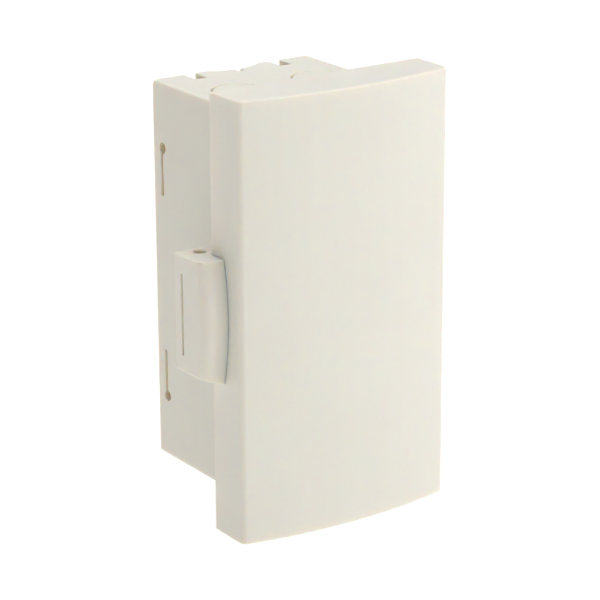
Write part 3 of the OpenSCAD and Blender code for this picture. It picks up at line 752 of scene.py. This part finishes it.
class Shape:
    """A mesh that is built up and then becomes one piece of the object."""

    def __init__(self, name: str, finishes: list[bpy.types.Material]) -> None:
        """Starts an empty mesh.

        Args:
            name: The piece's name.
            finishes: Its materials, in slot order.
        """
        self.name = name
        self.finishes = finishes
        self.mesh = bmesh.new()

    def block(self, low: Point, high: Point, slot: int = 0) -> None:
        """Adds a block between two corners.

        Args:
            low: The corner with the smallest coordinates.
            high: The opposite corner.
            slot: Its material slot.
        """
        x, y, z = zip(low, high)
        spots = [self.mesh.verts.new((a, b, c)) for a in x for b in y for c in z]
        for ring in (
            (0, 1, 3, 2), (4, 6, 7, 5), (0, 4, 5, 1), (2, 3, 7, 6), (0, 2, 6, 4), (1, 5, 7, 3),
        ):
            self.mesh.faces.new([spots[i] for i in ring]).material_index = slot

    def ring(
        self, middle: Vector, side: Vector, other: Vector, radius: float, count: int
    ) -> list[bmesh.types.BMVert]:
        """Adds a ring of points.

        Args:
            middle: The ring's middle.
            side: The direction of its first point.
            other: The direction a quarter turn on.
            radius: Its radius.
            count: How many points it has.

        Returns:
            The points, in order.
        """
        angles = (math.tau * i / count for i in range(count))
        return [
            self.mesh.verts.new(middle + (side * math.cos(t) + other * math.sin(t)) * radius)
            for t in angles
        ]

    def skin(self, rings: list[list[bmesh.types.BMVert]], slots: list[int]) -> None:
        """Joins rings with smooth faces and closes both ends.

        Args:
            rings: Rings of equal count, in order.
            slots: Each ring's material slot, which the faces that lead up to it take.
        """
        for first, last, slot in zip(rings, rings[1:], slots[1:]):
            for i in range(len(first)):
                j = (i + 1) % len(first)
                face = self.mesh.faces.new((first[i], first[j], last[j], last[i]))
                face.material_index = slot
                face.smooth = True
        self.mesh.faces.new(rings[0][::-1]).material_index = slots[0]
        self.mesh.faces.new(rings[-1]).material_index = slots[-1]

    def turned(
        self, start: Vector, way: Vector, profile: list[tuple[float, float, int]], sides: int = 20
    ) -> None:
        """Adds a turned solid.

        Args:
            start: Where its axis begins.
            way: The direction of its axis.
            profile: Steps along the axis, each a distance, a radius and a material slot.
            sides: How many faces go round it.
        """
        way = way.normalized()
        side = way.orthogonal().normalized()
        other = way.cross(side)
        rings = [
            self.ring(start + way * distance, side, other, radius, sides)
            for distance, radius, _ in profile
        ]
        self.skin(rings, [slot for _, _, slot in profile])

    def tube(self, path: list[Vector], radius: float, slot: int = 0, sides: int = 8) -> None:
        """Adds a round wire along a path.

        Args:
            path: Points along the wire's middle.
            radius: The wire's radius.
            slot: Its material slot.
            sides: How many faces go round it.
        """
        never_along = Vector((0.31, 0.17, 0.93))
        rings = []
        for k, spot in enumerate(path):
            ahead = path[min(k + 1, len(path) - 1)] - path[max(k - 1, 0)]
            side = ahead.cross(never_along).normalized()
            other = ahead.normalized().cross(side)
            rings.append(self.ring(spot, side, other, radius, sides))
        self.skin(rings, [slot] * len(rings))

    def place(self, part: Part, rolled: float = 0.0) -> bpy.types.Object:
        """Turns the mesh into a piece that rides on a body.

        Args:
            part: The body.
            rolled: The width of its rolled edges in metres, or 0 for none.

        Returns:
            The new piece.
        """
        bmesh.ops.recalc_face_normals(self.mesh, faces=self.mesh.faces)
        data = bpy.data.meshes.new(self.name)
        self.mesh.to_mesh(data)
        self.mesh.free()
        for finish in self.finishes:
            data.materials.append(finish)
        piece = bpy.data.objects.new(self.name, data)
        bpy.context.scene.collection.objects.link(piece)
        if rolled:
            roll = piece.modifiers.new("rolled_edges", "BEVEL")
            roll.width = rolled
            roll.segments = 2
            roll.limit_method = "ANGLE"
        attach(piece, part.value)
        LOG.info("%s: %d faces, on %s", self.name, len(data.polygons), part.value)
        return piece


# ------------------------------------------------------------------ sub-assemblies


@dataclass
class Housing:
    """The rear box, its frame and the hinged cover with its ear, pin and latch."""

    finishes: Finishes
    box_roll: float = 0.4 * MM
    cover_roll: float = 0.8 * MM
    ear_roll: float = 0.25 * MM
    small_roll: float = 0.3 * MM
    back_wall: float = 2.5 * MM
    mark_radius: float = 2.6 * MM
    mark_lip: float = 0.12 * MM
    mark_sunk: float = 0.1 * MM
    mark_side: float = 16 * MM
    mark_from_bottom: float = 12 * MM
    mark_from_top: float = 14.5 * MM

    def dress(self) -> None:
        """Gives the moulded shells and their metal parts their finishes."""
        for node in ("rear_box", "front_frame"):
            self.finishes.dress(node, "ivory_box_plastic")
        for node in ("front_cover", "latch_spindle"):
            self.finishes.dress(node, "ivory_cover_plastic")
        self.finishes.dress("hinge_ear", "ivory_ear_plastic")
        for node in ("frame_screws", "hinge_pin"):
            self.finishes.dress(node, "zinc_plate")
        soften("rear_box", self.box_roll)
        soften("front_frame", self.box_roll)
        soften("front_cover", self.cover_roll, 3)
        soften("hinge_ear", self.ear_roll, 3)
        soften("latch_spindle", self.small_roll)
        soften("hinge_pin", self.small_roll)

    def build_marks(self) -> None:
        """Builds the shallow ejector-pin rings inside the box's back wall."""
        low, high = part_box("rear_box")
        marks = Shape("ejector_marks", [self.finishes.made["ivory_box_plastic"]])
        r, lip, sunk = self.mark_radius, self.mark_lip, self.mark_sunk
        profile = [
            (0, r, 0), (sunk + lip, r, 0), (sunk + lip, r - 2 * lip, 0),
            (sunk + 0.3 * lip, r - 3 * lip, 0),
        ]
        for x in (-self.mark_side, self.mark_side):
            for z in (low.z + self.mark_from_bottom, high.z - self.mark_from_top):
                foot = Vector((x, sunk - self.back_wall, z))
                marks.turned(foot, FORWARD, profile, 28)
        marks.place(Part.BASE)


@dataclass
class Board:
    """The control board's laminate, its tracks, its printed outlines and its small parts."""

    finishes: Finishes
    track_rise: float = 0.06 * MM
    track_step: float = 3.1 * MM
    track_stagger: float = 0.9 * MM
    print_rise: float = 0.03 * MM
    print_line: float = 0.2 * MM
    print_margin: float = 0.5 * MM
    lead: float = 0.3 * MM
    lead_bend: float = 0.5 * MM
    resistor_reach: float = 4.4 * MM
    diode_reach: float = 3.7 * MM

    def face(self) -> float:
        """The depth of the board's front face."""
        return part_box("circuit_board")[0].y

    def dress(self) -> None:
        """Gives the laminates their finishes."""
        self.finishes.dress("circuit_board", "main_board_mask")
        self.finishes.dress("radio_board", "radio_board_mask")
        for node in ("board_screws", "guard_screws", "clamp_screws"):
            self.finishes.dress(node, "zinc_plate")

    def build_prints(self) -> None:
        """Prints a thin outline round each part that stands on the board."""
        lines = Shape("printed_outlines", [self.finishes.made["marking_white"]])
        y = self.face()
        thin, margin = self.print_line, self.print_margin
        for node in (
            "transformer_winding", "relay_open", "relay_close", "fuse_clips", "varistor",
            "processor_socket", "slide_switch_body", "button_bodies", "rectifier", "radio_board",
            "mains_terminal_block", "crystal",
        ):
            low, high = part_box(node)
            a, b = low.x - margin, high.x + margin
            c, d = low.z - margin, high.z + margin
            top = y - self.print_rise
            for p, q in (
                ((a, c), (b, c + thin)), ((a, d - thin), (b, d)),
                ((a, c), (a + thin, d)), ((b - thin, c), (b, d)),
            ):
                lines.block((p[0], top, p[1]), (q[0], y + SUNK, q[1]))
        lines.place(Part.BASE)

    def build_tracks(self) -> None:
        """Lays the tracks between the parts, each with one slanted corner, and their pads."""
        tracks = Shape(
            "board_tracks",
            [self.finishes.made["track_mask"], self.finishes.made["solder"]],
        )
        y = self.face()
        wide, narrow = 1.6 * MM, 0.5 * MM
        runs = [
            ("mains_terminal_block", "relay_close", wide), ("relay_close", "relay_open", wide),
            ("fuse_clips", "transformer_winding", wide), ("varistor", "fuse_clips", wide),
            ("mains_terminal_block", "fuse_clips", wide),
            ("rectifier", "bulk_capacitor", wide), ("heat_sink", "small_capacitors", wide),
            ("processor_socket", "slide_switch_body", narrow),
            ("processor_socket", "button_bodies", narrow),
            ("processor_socket", "trimmer_bodies", narrow),
            ("processor_socket", "radio_board", narrow), ("crystal", "processor_socket", narrow),
            ("control_terminal_block", "trimmer_bodies", narrow),
            ("control_terminal_block", "slide_switch_body", narrow),
            ("control_terminal_block", "button_bodies", narrow),
        ]
        for count, (first, last, width) in enumerate(runs):
            for side in range(3 if width == narrow else 1):
                shift = (side - 1) * self.track_step + (count % 3) * self.track_stagger
                start, end = (
                    (sum(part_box(n), Vector()) / 2) + Vector((shift, 0, 0)) for n in (first, last)
                )
                self.lay(tracks, start, end, width, y)
                for spot in (start, end):
                    self.solder(tracks, spot, (width * 0.9, width * 0.3), 0.4 * MM, 1, 14)
        tracks.place(Part.BASE)

    def solder(
        self,
        piece: Shape,
        spot: Vector,
        radii: tuple[float, float],
        height: float,
        slot: int,
        sides: int,
    ) -> None:
        """Adds a solder cone on the board's face.

        Args:
            piece: The piece to add it to.
            spot: A point above or below it; only its place on the face counts.
            radii: Its radius at the foot and at the tip.
            height: How far it rises from its sunk foot.
            slot: Its material slot.
            sides: How many faces go round it.
        """
        foot, tip = radii
        piece.turned(
            Vector((spot.x, self.face() + SUNK, spot.z)),
            FORWARD,
            [(0, foot, slot), (0.08 * MM, foot, slot), (height, tip, slot)],
            sides,
        )

    def lay(self, tracks: Shape, start: Vector, end: Vector, width: float, y: float) -> None:
        """Lays one track with a slanted stretch in its middle.

        Args:
            tracks: The piece to add it to.
            start: Its first point.
            end: Its last point.
            width: The track's width.
            y: The depth of the board's face.
        """
        slant = min(abs(end.x - start.x), abs(end.z - start.z))
        way = 1.0 if end.z > start.z else -1.0
        bend_a = Vector((start.x, 0, (start.z + end.z - way * slant) / 2))
        bend_b = Vector((end.x, 0, bend_a.z + way * slant))
        if abs(end.x - start.x) > slant:
            over = 1.0 if end.x > start.x else -1.0
            bend_a = Vector(((start.x + end.x - over * slant) / 2, 0, start.z))
            bend_b = Vector((bend_a.x + over * slant, 0, end.z))
        for p, q in ((start, bend_a), (bend_a, bend_b), (bend_b, end)):
            p, q = Vector((p.x, 0, p.z)), Vector((q.x, 0, q.z))
            if (q - p).length < 0.05 * MM:
                continue
            along = (q - p).normalized()
            half = Vector((-along.z, 0, along.x)) * width / 2
            p, q = p - along * width * 0.2, q + along * width * 0.2
            ring = [p - half, p + half, q + half, q - half]
            low = [tracks.mesh.verts.new((v.x, y + SUNK, v.z)) for v in ring]
            top = [tracks.mesh.verts.new((v.x, y - self.track_rise, v.z)) for v in ring]
            tracks.mesh.faces.new(top)
            for i in range(4):
                j = (i + 1) % 4
                tracks.mesh.faces.new((low[i], low[j], top[j], top[i]))

    def build_passives(self) -> None:
        """Places the banded resistors and the diodes in the board's free rows."""
        made = self.finishes.made
        rows = [
            (12.0, (4.5, 13.5)), (14.6, (4.5, 13.5)), (31.0, (-24.0, -13.5, -3.0, 8.5)),
            (43.6, (-25.5, -15.5, -5.5)), (-9.0, (-27.0,)), (10.8, (24.0,)),
        ]
        parts = Shape(
            "small_resistors",
            [made["resistor_body"], made["band_brown"], made["band_red"], made["band_gold"],
             made["solder"]],
        )
        y = self.face()
        for z, spots in rows:
            for x in spots:
                self.resistor(parts, Vector((x * MM, y - 1.15 * MM, z * MM)))
        parts.place(Part.BASE)
        diodes = Shape(
            "small_diodes", [made["black_plastic"], made["marking_white"], made["solder"]]
        )
        for x, z in ((-27.0, -12.0), (24.0, 8.2), (-27.0, 15.6), (-17.5, 15.6)):
            self.diode(diodes, Vector((x * MM, y - 1.2 * MM, z * MM)))
        diodes.place(Part.BASE)

    def legs(self, parts: Shape, middle: Vector, reach: float, slot: int) -> None:
        """Adds both bent leads of an axial part and their solder cones.

        Args:
            parts: The piece to add them to.
            middle: The middle of the part's body.
            reach: How far out each lead bends down.
            slot: Their material slot.
        """
        for side in (-1, 1):
            bend = self.lead_bend
            tip = middle + Vector((side * reach, 0, 0))
            path = [middle + Vector((side * 1.6 * MM, 0, 0)), tip - Vector((side * bend, 0, 0))]
            path += [
                tip + Vector((side * bend * (math.sin(t) - 1), bend * (1 - math.cos(t)), 0))
                for t in (0.4, 0.8, 1.2, math.pi / 2)
            ]
            path.append(Vector((tip.x, self.face() + 0.1 * MM, tip.z)))
            parts.tube(path, self.lead, slot)
            self.solder(parts, tip, (0.85 * MM, 0.34 * MM), 0.5 * MM, slot, 12)

    def resistor(self, parts: Shape, middle: Vector) -> None:
        """Adds one resistor with its swollen ends and colour bands.

        Args:
            parts: The piece to add it to.
            middle: Its middle.
        """
        profile = [(0.0, 0.3, 0), (0.25, 0.85, 0), (0.7, 1.05, 0), (1.2, 1.05, 0), (1.5, 0.9, 0)]
        place = 1.5
        for slot in (1, 2, 1, 3):
            profile += [(place + 0.35, 0.86, 0), (place + 0.72, 0.86, slot)]
            place += 0.75
        profile += [(4.9, 0.9, 0), (5.2, 1.05, 0), (5.7, 1.05, 0), (6.15, 0.85, 0), (6.4, 0.3, 0)]
        parts.turned(
            middle - Vector((3.2 * MM, 0, 0)),
            Vector((1, 0, 0)),
            [(d * MM, r * MM, s) for d, r, s in profile],
            16,
        )
        self.legs(parts, middle, self.resistor_reach, 4)

    def diode(self, parts: Shape, middle: Vector) -> None:
        """Adds one diode with its pale end band.

        Args:
            parts: The piece to add it to.
            middle: Its middle.
        """
        profile = [
            (0.0, 1.0, 0), (0.2, 1.2, 0), (3.1, 1.2, 0),
            (3.7, 1.21, 1), (4.2, 1.2, 0), (4.4, 1.0, 0),
        ]
        parts.turned(
            middle - Vector((2.2 * MM, 0, 0)),
            Vector((1, 0, 0)),
            [(d * MM, r * MM, s) for d, r, s in profile],
            18,
        )
        self.legs(parts, middle, self.diode_reach, 2)


@dataclass
class PowerParts:
    """The transformer, relays, fuse, capacitors and the other parts on the mains side."""

    finishes: Finishes
    cheek: float = 0.9 * MM
    lug_count: int = 5
    lug_first: float = 4.5 * MM
    lug_pitch: float = 4.6 * MM
    lug_wire: float = 0.35 * MM

    def dress(self) -> None:
        """Gives each power part its finish."""
        for node, finish in {
            "transformer_core": "core_laminations",
            "transformer_winding": "winding_tape",
            "relay_open": "relay_blue_plastic",
            "relay_close": "relay_blue_plastic",
            "mains_terminal_block": "terminal_green_plastic",
            "mains_terminal_screws": "zinc_plate",
            "fuse_link": "fuse_glass",
            "fuse_clips": "tinned_brass",
            "varistor": "varistor_blue_lacquer",
            "heat_sink": "sink_aluminium",
            "voltage_regulator": "black_plastic",
            "rectifier": "black_plastic",
            "touch_guard": "guard_sheet",
            "cable_clamp": "clamp_grey_plastic",
        }.items():
            self.finishes.dress(node, finish)
        for node, width in (
            ("relay_open", 0.5), ("relay_close", 0.5), ("mains_terminal_block", 0.15),
            ("cable_clamp", 0.4), ("rectifier", 0.3), ("voltage_regulator", 0.15),
            ("transformer_core", 0.2), ("transformer_winding", 0.8),
        ):
            soften(node, width * MM)

    def dress_capacitors(self) -> None:
        """Gives each capacitor can its sleeve, stripe and bare top."""
        low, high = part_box("bulk_capacitor")
        middle = (low + high) / 2
        self.finishes.dress(
            "bulk_capacitor",
            self.finishes.keep(
                ShrunkSleeve(
                    "large_sleeve", (0.012, 0.02, 0.075), (0.55, 0.56, 0.58),
                    (middle.x, middle.z), (high.x - low.x) / 2, low.y,
                )
            ),
        )
        low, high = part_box("small_capacitors")
        self.finishes.dress(
            "small_capacitors",
            self.finishes.keep(
                ShrunkSleeve(
                    "small_sleeve", (0.012, 0.014, 0.02), (0.6, 0.6, 0.58),
                    ((low.x + high.x) / 2, (low.z + high.z) / 2), (high.x - low.x) / 2, low.y,
                )
            ),
        )

    def build_bobbin(self) -> None:
        """Builds the bobbin's cheeks and solder lugs round the transformer's winding."""
        made = self.finishes.made
        low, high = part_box("transformer_winding")
        bobbin = Shape("bobbin_lugs", [made["black_plastic"], made["solder"]])
        for z, way in ((low.z, -1), (high.z, 1)):
            edge = z + way * self.cheek
            bobbin.block(
                (low.x + 2 * MM, low.y + 15.8 * MM, min(z, edge)),
                (high.x - 2 * MM, high.y - 0.5 * MM, max(z, edge)),
            )
            for k in range(self.lug_count):
                x = low.x + (self.lug_first + k * self.lug_pitch)
                middle = z + way * self.cheek / 2
                bobbin.tube(
                    [
                        Vector((x, high.y - 0.6 * MM, middle)),
                        Vector((x, high.y + 3.0 * MM, middle)),
                        Vector((x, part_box("circuit_board")[0].y + 0.1 * MM, middle)),
                    ],
                    self.lug_wire,
                    1,
                )
        bobbin.place(Part.BASE, 0.15 * MM)


@dataclass
class ControlParts:
    """The processor, radio, switches, dials, buttons and lamps of the control side."""

    finishes: Finishes
    coil_radius: float = 2.2 * MM
    coil_wire: float = 0.3 * MM
    coil_turns: int = 10
    coil_steps: int = 24
    ridge_count: int = 3
    ridge_first: float = 4.5 * MM
    ridge_pitch: float = 4.8 * MM
    ridge_width: float = 0.5 * MM

    def dress(self) -> None:
        """Gives each control part its finish."""
        looks = {
            "control_terminal_block": "terminal_green_plastic",
            "control_terminal_screws": "zinc_plate",
            "processor_socket": "black_plastic",
            "processor": "black_plastic",
            "crystal": "tinned_can",
            "radio_shield": "tinned_can",
            "slide_switch_body": "switch_red_plastic",
            "trimmer_bodies": "relay_blue_plastic",
            "trimmer_dial_1": "white_plastic",
            "trimmer_dial_2": "white_plastic",
            "button_bodies": "black_plastic",
            "learn_button": "button_yellow_plastic",
            "test_button": "button_grey_plastic",
            "indicator_lamps": "lamp_green_lens",
            "antenna_coil": "copper_wire",
        }
        looks |= {f"slide_switch_{n}": "white_plastic" for n in range(1, 5)}
        for node, finish in looks.items():
            self.finishes.dress(node, finish)
        for node, width in (
            ("control_terminal_block", 0.15), ("learn_button", 0.3), ("test_button", 0.3),
            ("crystal", 0.4), ("radio_shield", 0.3), ("slide_switch_body", 0.15),
            ("trimmer_bodies", 0.2),
        ):
            soften(node, width * MM)

    def build_antenna(self) -> None:
        """Winds the antenna as one true helix, in place of the plain rings."""
        low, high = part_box("antenna_coil")
        middle = (low + high) / 2
        start, end = high.y - 1.2 * MM, low.y + 1.0 * MM
        steps = self.coil_turns * self.coil_steps
        path = [
            Vector((middle.x, high.y + 0.3 * MM, middle.z)),
            Vector((middle.x, start + 0.4 * MM, middle.z)),
            Vector((middle.x + 0.6 * self.coil_radius, start + 0.1 * MM, middle.z)),
        ]
        for i in range(steps + 1):
            t = math.tau * i / self.coil_steps
            path.append(
                Vector(
                    (
                        middle.x + self.coil_radius * math.cos(t),
                        start + (end - start) * i / steps,
                        middle.z + self.coil_radius * math.sin(t),
                    )
                )
            )
        coil = Shape("antenna_helix", [self.finishes.made["copper_wire"]])
        coil.tube(path, self.coil_wire)
        piece = coil.place(Part.BASE)
        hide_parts("antenna_coil")

    def build_marks(self) -> None:
        """Builds the processor's pin-one dimple and the relays' moulded ridges."""
        made = self.finishes.made
        marks = Shape(
            "moulded_marks", [made["marking_white"], made["relay_blue_plastic"]]
        )
        low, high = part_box("processor")
        marks.turned(
            Vector((low.x + 3 * MM, low.y + SUNK, high.z - 2.4 * MM)),
            FORWARD,
            [(0, 0.6 * MM, 0), (0.05 * MM, 0.6 * MM, 0), (0.06 * MM, 0.5 * MM, 0)],
            16,
        )
        for node in ("relay_open", "relay_close"):
            low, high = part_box(node)
            for k in range(self.ridge_count):
                z = low.z + self.ridge_first + self.ridge_pitch * k
                marks.block(
                    (low.x + 3 * MM, low.y - 0.25 * MM, z),
                    (high.x - 3 * MM, low.y + 0.05 * MM, z + self.ridge_width),
                    1,
                )
        marks.place(Part.BASE)


# ------------------------------------------------------------------ studio


@dataclass(frozen=True)
class SoftBox:
    """A square soft light that faces the object."""

    name: str
    spot: Point
    width: float
    power: float

    def hang(self, aim: Vector) -> None:
        """Hangs the light, turned towards a point.

        Args:
            aim: The point.
        """
        data = bpy.data.lights.new(self.name, "AREA")
        data.shape = "SQUARE"
        data.size = self.width
        data.energy = self.power
        data.color = (0.99, 1.0, 1.03)
        lamp = bpy.data.objects.new(self.name, data)
        bpy.context.scene.collection.objects.link(lamp)
        lamp.location = self.spot
        lamp.rotation_euler = (aim - lamp.location).to_track_quat("-Z", "Y").to_euler()


@dataclass
class Studio:
    """The pale floor, the soft lights and the camera."""

    target: Point = (-0.0216, -0.0804, 0.0056)
    azimuth: float = math.radians(-34.3)
    elevation: float = math.radians(18.33)
    distance: float = 1.003
    roll: float = math.radians(-0.26)
    lens: float = 154.8
    floor_half: float = 6.0
    floor_gap: float = 0.3 * MM
    floor_light: float = 0.9
    sky: float = 0.28
    sky_shown: float = 1.05
    aim: Point = (0.0, -0.04, 0.0)
    soft_boxes: tuple[SoftBox, ...] = (
        SoftBox("front_soft_box", (0.747, -1.465, 0.732), 1.1, 5.2),
        SoftBox("right_soft_box", (1.731, -1.453, 0.398), 1.35, 16.4),
        SoftBox("top_soft_box", (0.086, -0.321, 1.565), 1.2, 10.0),
        SoftBox("rear_soft_box", (0.250, 1.353, 1.966), 1.6, 26.0),
        SoftBox("left_soft_box", (-1.540, 0.135, 0.414), 1.0, 1.2),
    )
    glow_height: float = 0.044
    glow_side: float = 0.024
    glow_size: tuple[float, float] = (0.022, 0.034)
    glow_power: float = 0.0006

    def build(self) -> None:
        """Builds the whole studio."""
        self.build_floor()
        self.build_sky()
        self.build_lights()
        self.build_inner_glow()
        self.build_camera()
        view = bpy.context.scene.view_settings
        view.view_transform = "Standard"
        view.look = "None"

    def build_floor(self) -> None:
        """Lays the bright floor under the object."""
        size = self.floor_half
        data = bpy.data.meshes.new("studio_floor")
        z = cad_box[0][2] - self.floor_gap
        data.from_pydata(
            [(-size, -size, z), (size, -size, z), (size, size, z), (-size, size, z)],
            [],
            [(0, 1, 2, 3)],
        )
        floor = bpy.data.objects.new("studio_floor", data)
        bpy.context.scene.collection.objects.link(floor)
        r = Recipe("studio_floor_paint")
        r.join(
            r.mixed(r.noise(3.0, 2.0), (0.2, 0.2, 0.2), (0.19, 0.19, 0.19)),
            r.surface.inputs["Base Color"],
        )
        r.fixed(Roughness=0.9, Specular_IOR_Level=0.0)
        r.fixed(Emission_Color=(1.0, 1.0, 1.0, 1.0), Emission_Strength=self.floor_light)
        data.materials.append(r.material)

    def build_sky(self) -> None:
        """Fills the room with even light, and shows it as plain white."""
        world = bpy.data.worlds.new("studio_room")
        bpy.context.scene.world = world
        world.use_nodes = True
        tree = world.node_tree
        light = tree.nodes["Background"]
        light.inputs["Color"].default_value = (1.0, 1.0, 1.0, 1.0)
        light.inputs["Strength"].default_value = self.sky
        shown = tree.nodes.new("ShaderNodeBackground")
        shown.inputs["Color"].default_value = (1.0, 1.0, 1.0, 1.0)
        shown.inputs["Strength"].default_value = self.sky_shown
        rays = tree.nodes.new("ShaderNodeLightPath")
        mix = tree.nodes.new("ShaderNodeMixShader")
        tree.links.new(rays.outputs["Is Camera Ray"], mix.inputs[0])
        tree.links.new(light.outputs[0], mix.inputs[1])
        tree.links.new(shown.outputs[0], mix.inputs[2])
        tree.links.new(mix.outputs[0], tree.nodes["World Output"].inputs["Surface"])

    def build_lights(self) -> None:
        """Hangs the soft boxes."""
        for box in self.soft_boxes:
            box.hang(Vector(self.aim))

    def build_inner_glow(self) -> None:
        """Puts back the daylight that soaks through thin walls into the space behind the board."""
        behind_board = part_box("circuit_board")[1].y
        for name, height in (("upper_glow", self.glow_height), ("lower_glow", -self.glow_height)):
            data = bpy.data.lights.new(name, "AREA")
            data.shape = "RECTANGLE"
            data.size, data.size_y = self.glow_size
            data.energy = self.glow_power
            data.color = (1.0, 0.84, 0.55)
            lamp = bpy.data.objects.new(name, data)
            bpy.context.scene.collection.objects.link(lamp)
            lamp.location = (-self.glow_side, behind_board + 0.3 * MM, height)
            lamp.rotation_euler = (math.radians(90), 0.0, 0.0)
            lamp.visible_camera = False

    def build_camera(self) -> None:
        """Sets the camera at the main viewing angle."""
        data = bpy.data.cameras.new("main_camera")
        data.lens = self.lens
        data.sensor_width = 36.0
        data.clip_start = 0.01
        camera = bpy.data.objects.new("main_camera", data)
        bpy.context.scene.collection.objects.link(camera)
        away = Vector(
            (
                math.sin(self.azimuth) * math.cos(self.elevation),
                -math.cos(self.azimuth) * math.cos(self.elevation),
                math.sin(self.elevation),
            )
        )
        side = (-away).cross(Vector((0, 0, 1))).normalized()
        up = side.cross(-away).normalized()
        right = side * math.cos(self.roll) + up * math.sin(self.roll)
        above = up * math.cos(self.roll) - side * math.sin(self.roll)
        turn = Matrix((right, above, away)).transposed().to_4x4()
        camera.matrix_world = Matrix.Translation(Vector(self.target) + away * self.distance) @ turn
        bpy.context.scene.camera = camera


def main() -> None:
    """Builds the looks in order."""
    logging.basicConfig(level=logging.INFO, format="%(name)s: %(message)s")
    finishes = Finishes()
    housing = Housing(finishes)
    housing.dress()
    housing.build_marks()
    board = Board(finishes)
    board.dress()
    board.build_tracks()
    board.build_prints()
    board.build_passives()
    power = PowerParts(finishes)
    power.dress()
    power.dress_capacitors()
    power.build_bobbin()
    control = ControlParts(finishes)
    control.dress()
    control.build_antenna()
    control.build_marks()
    Studio().build()
    LOG.info("built %s", "the control box")


if __name__ == "__main__":
    main()
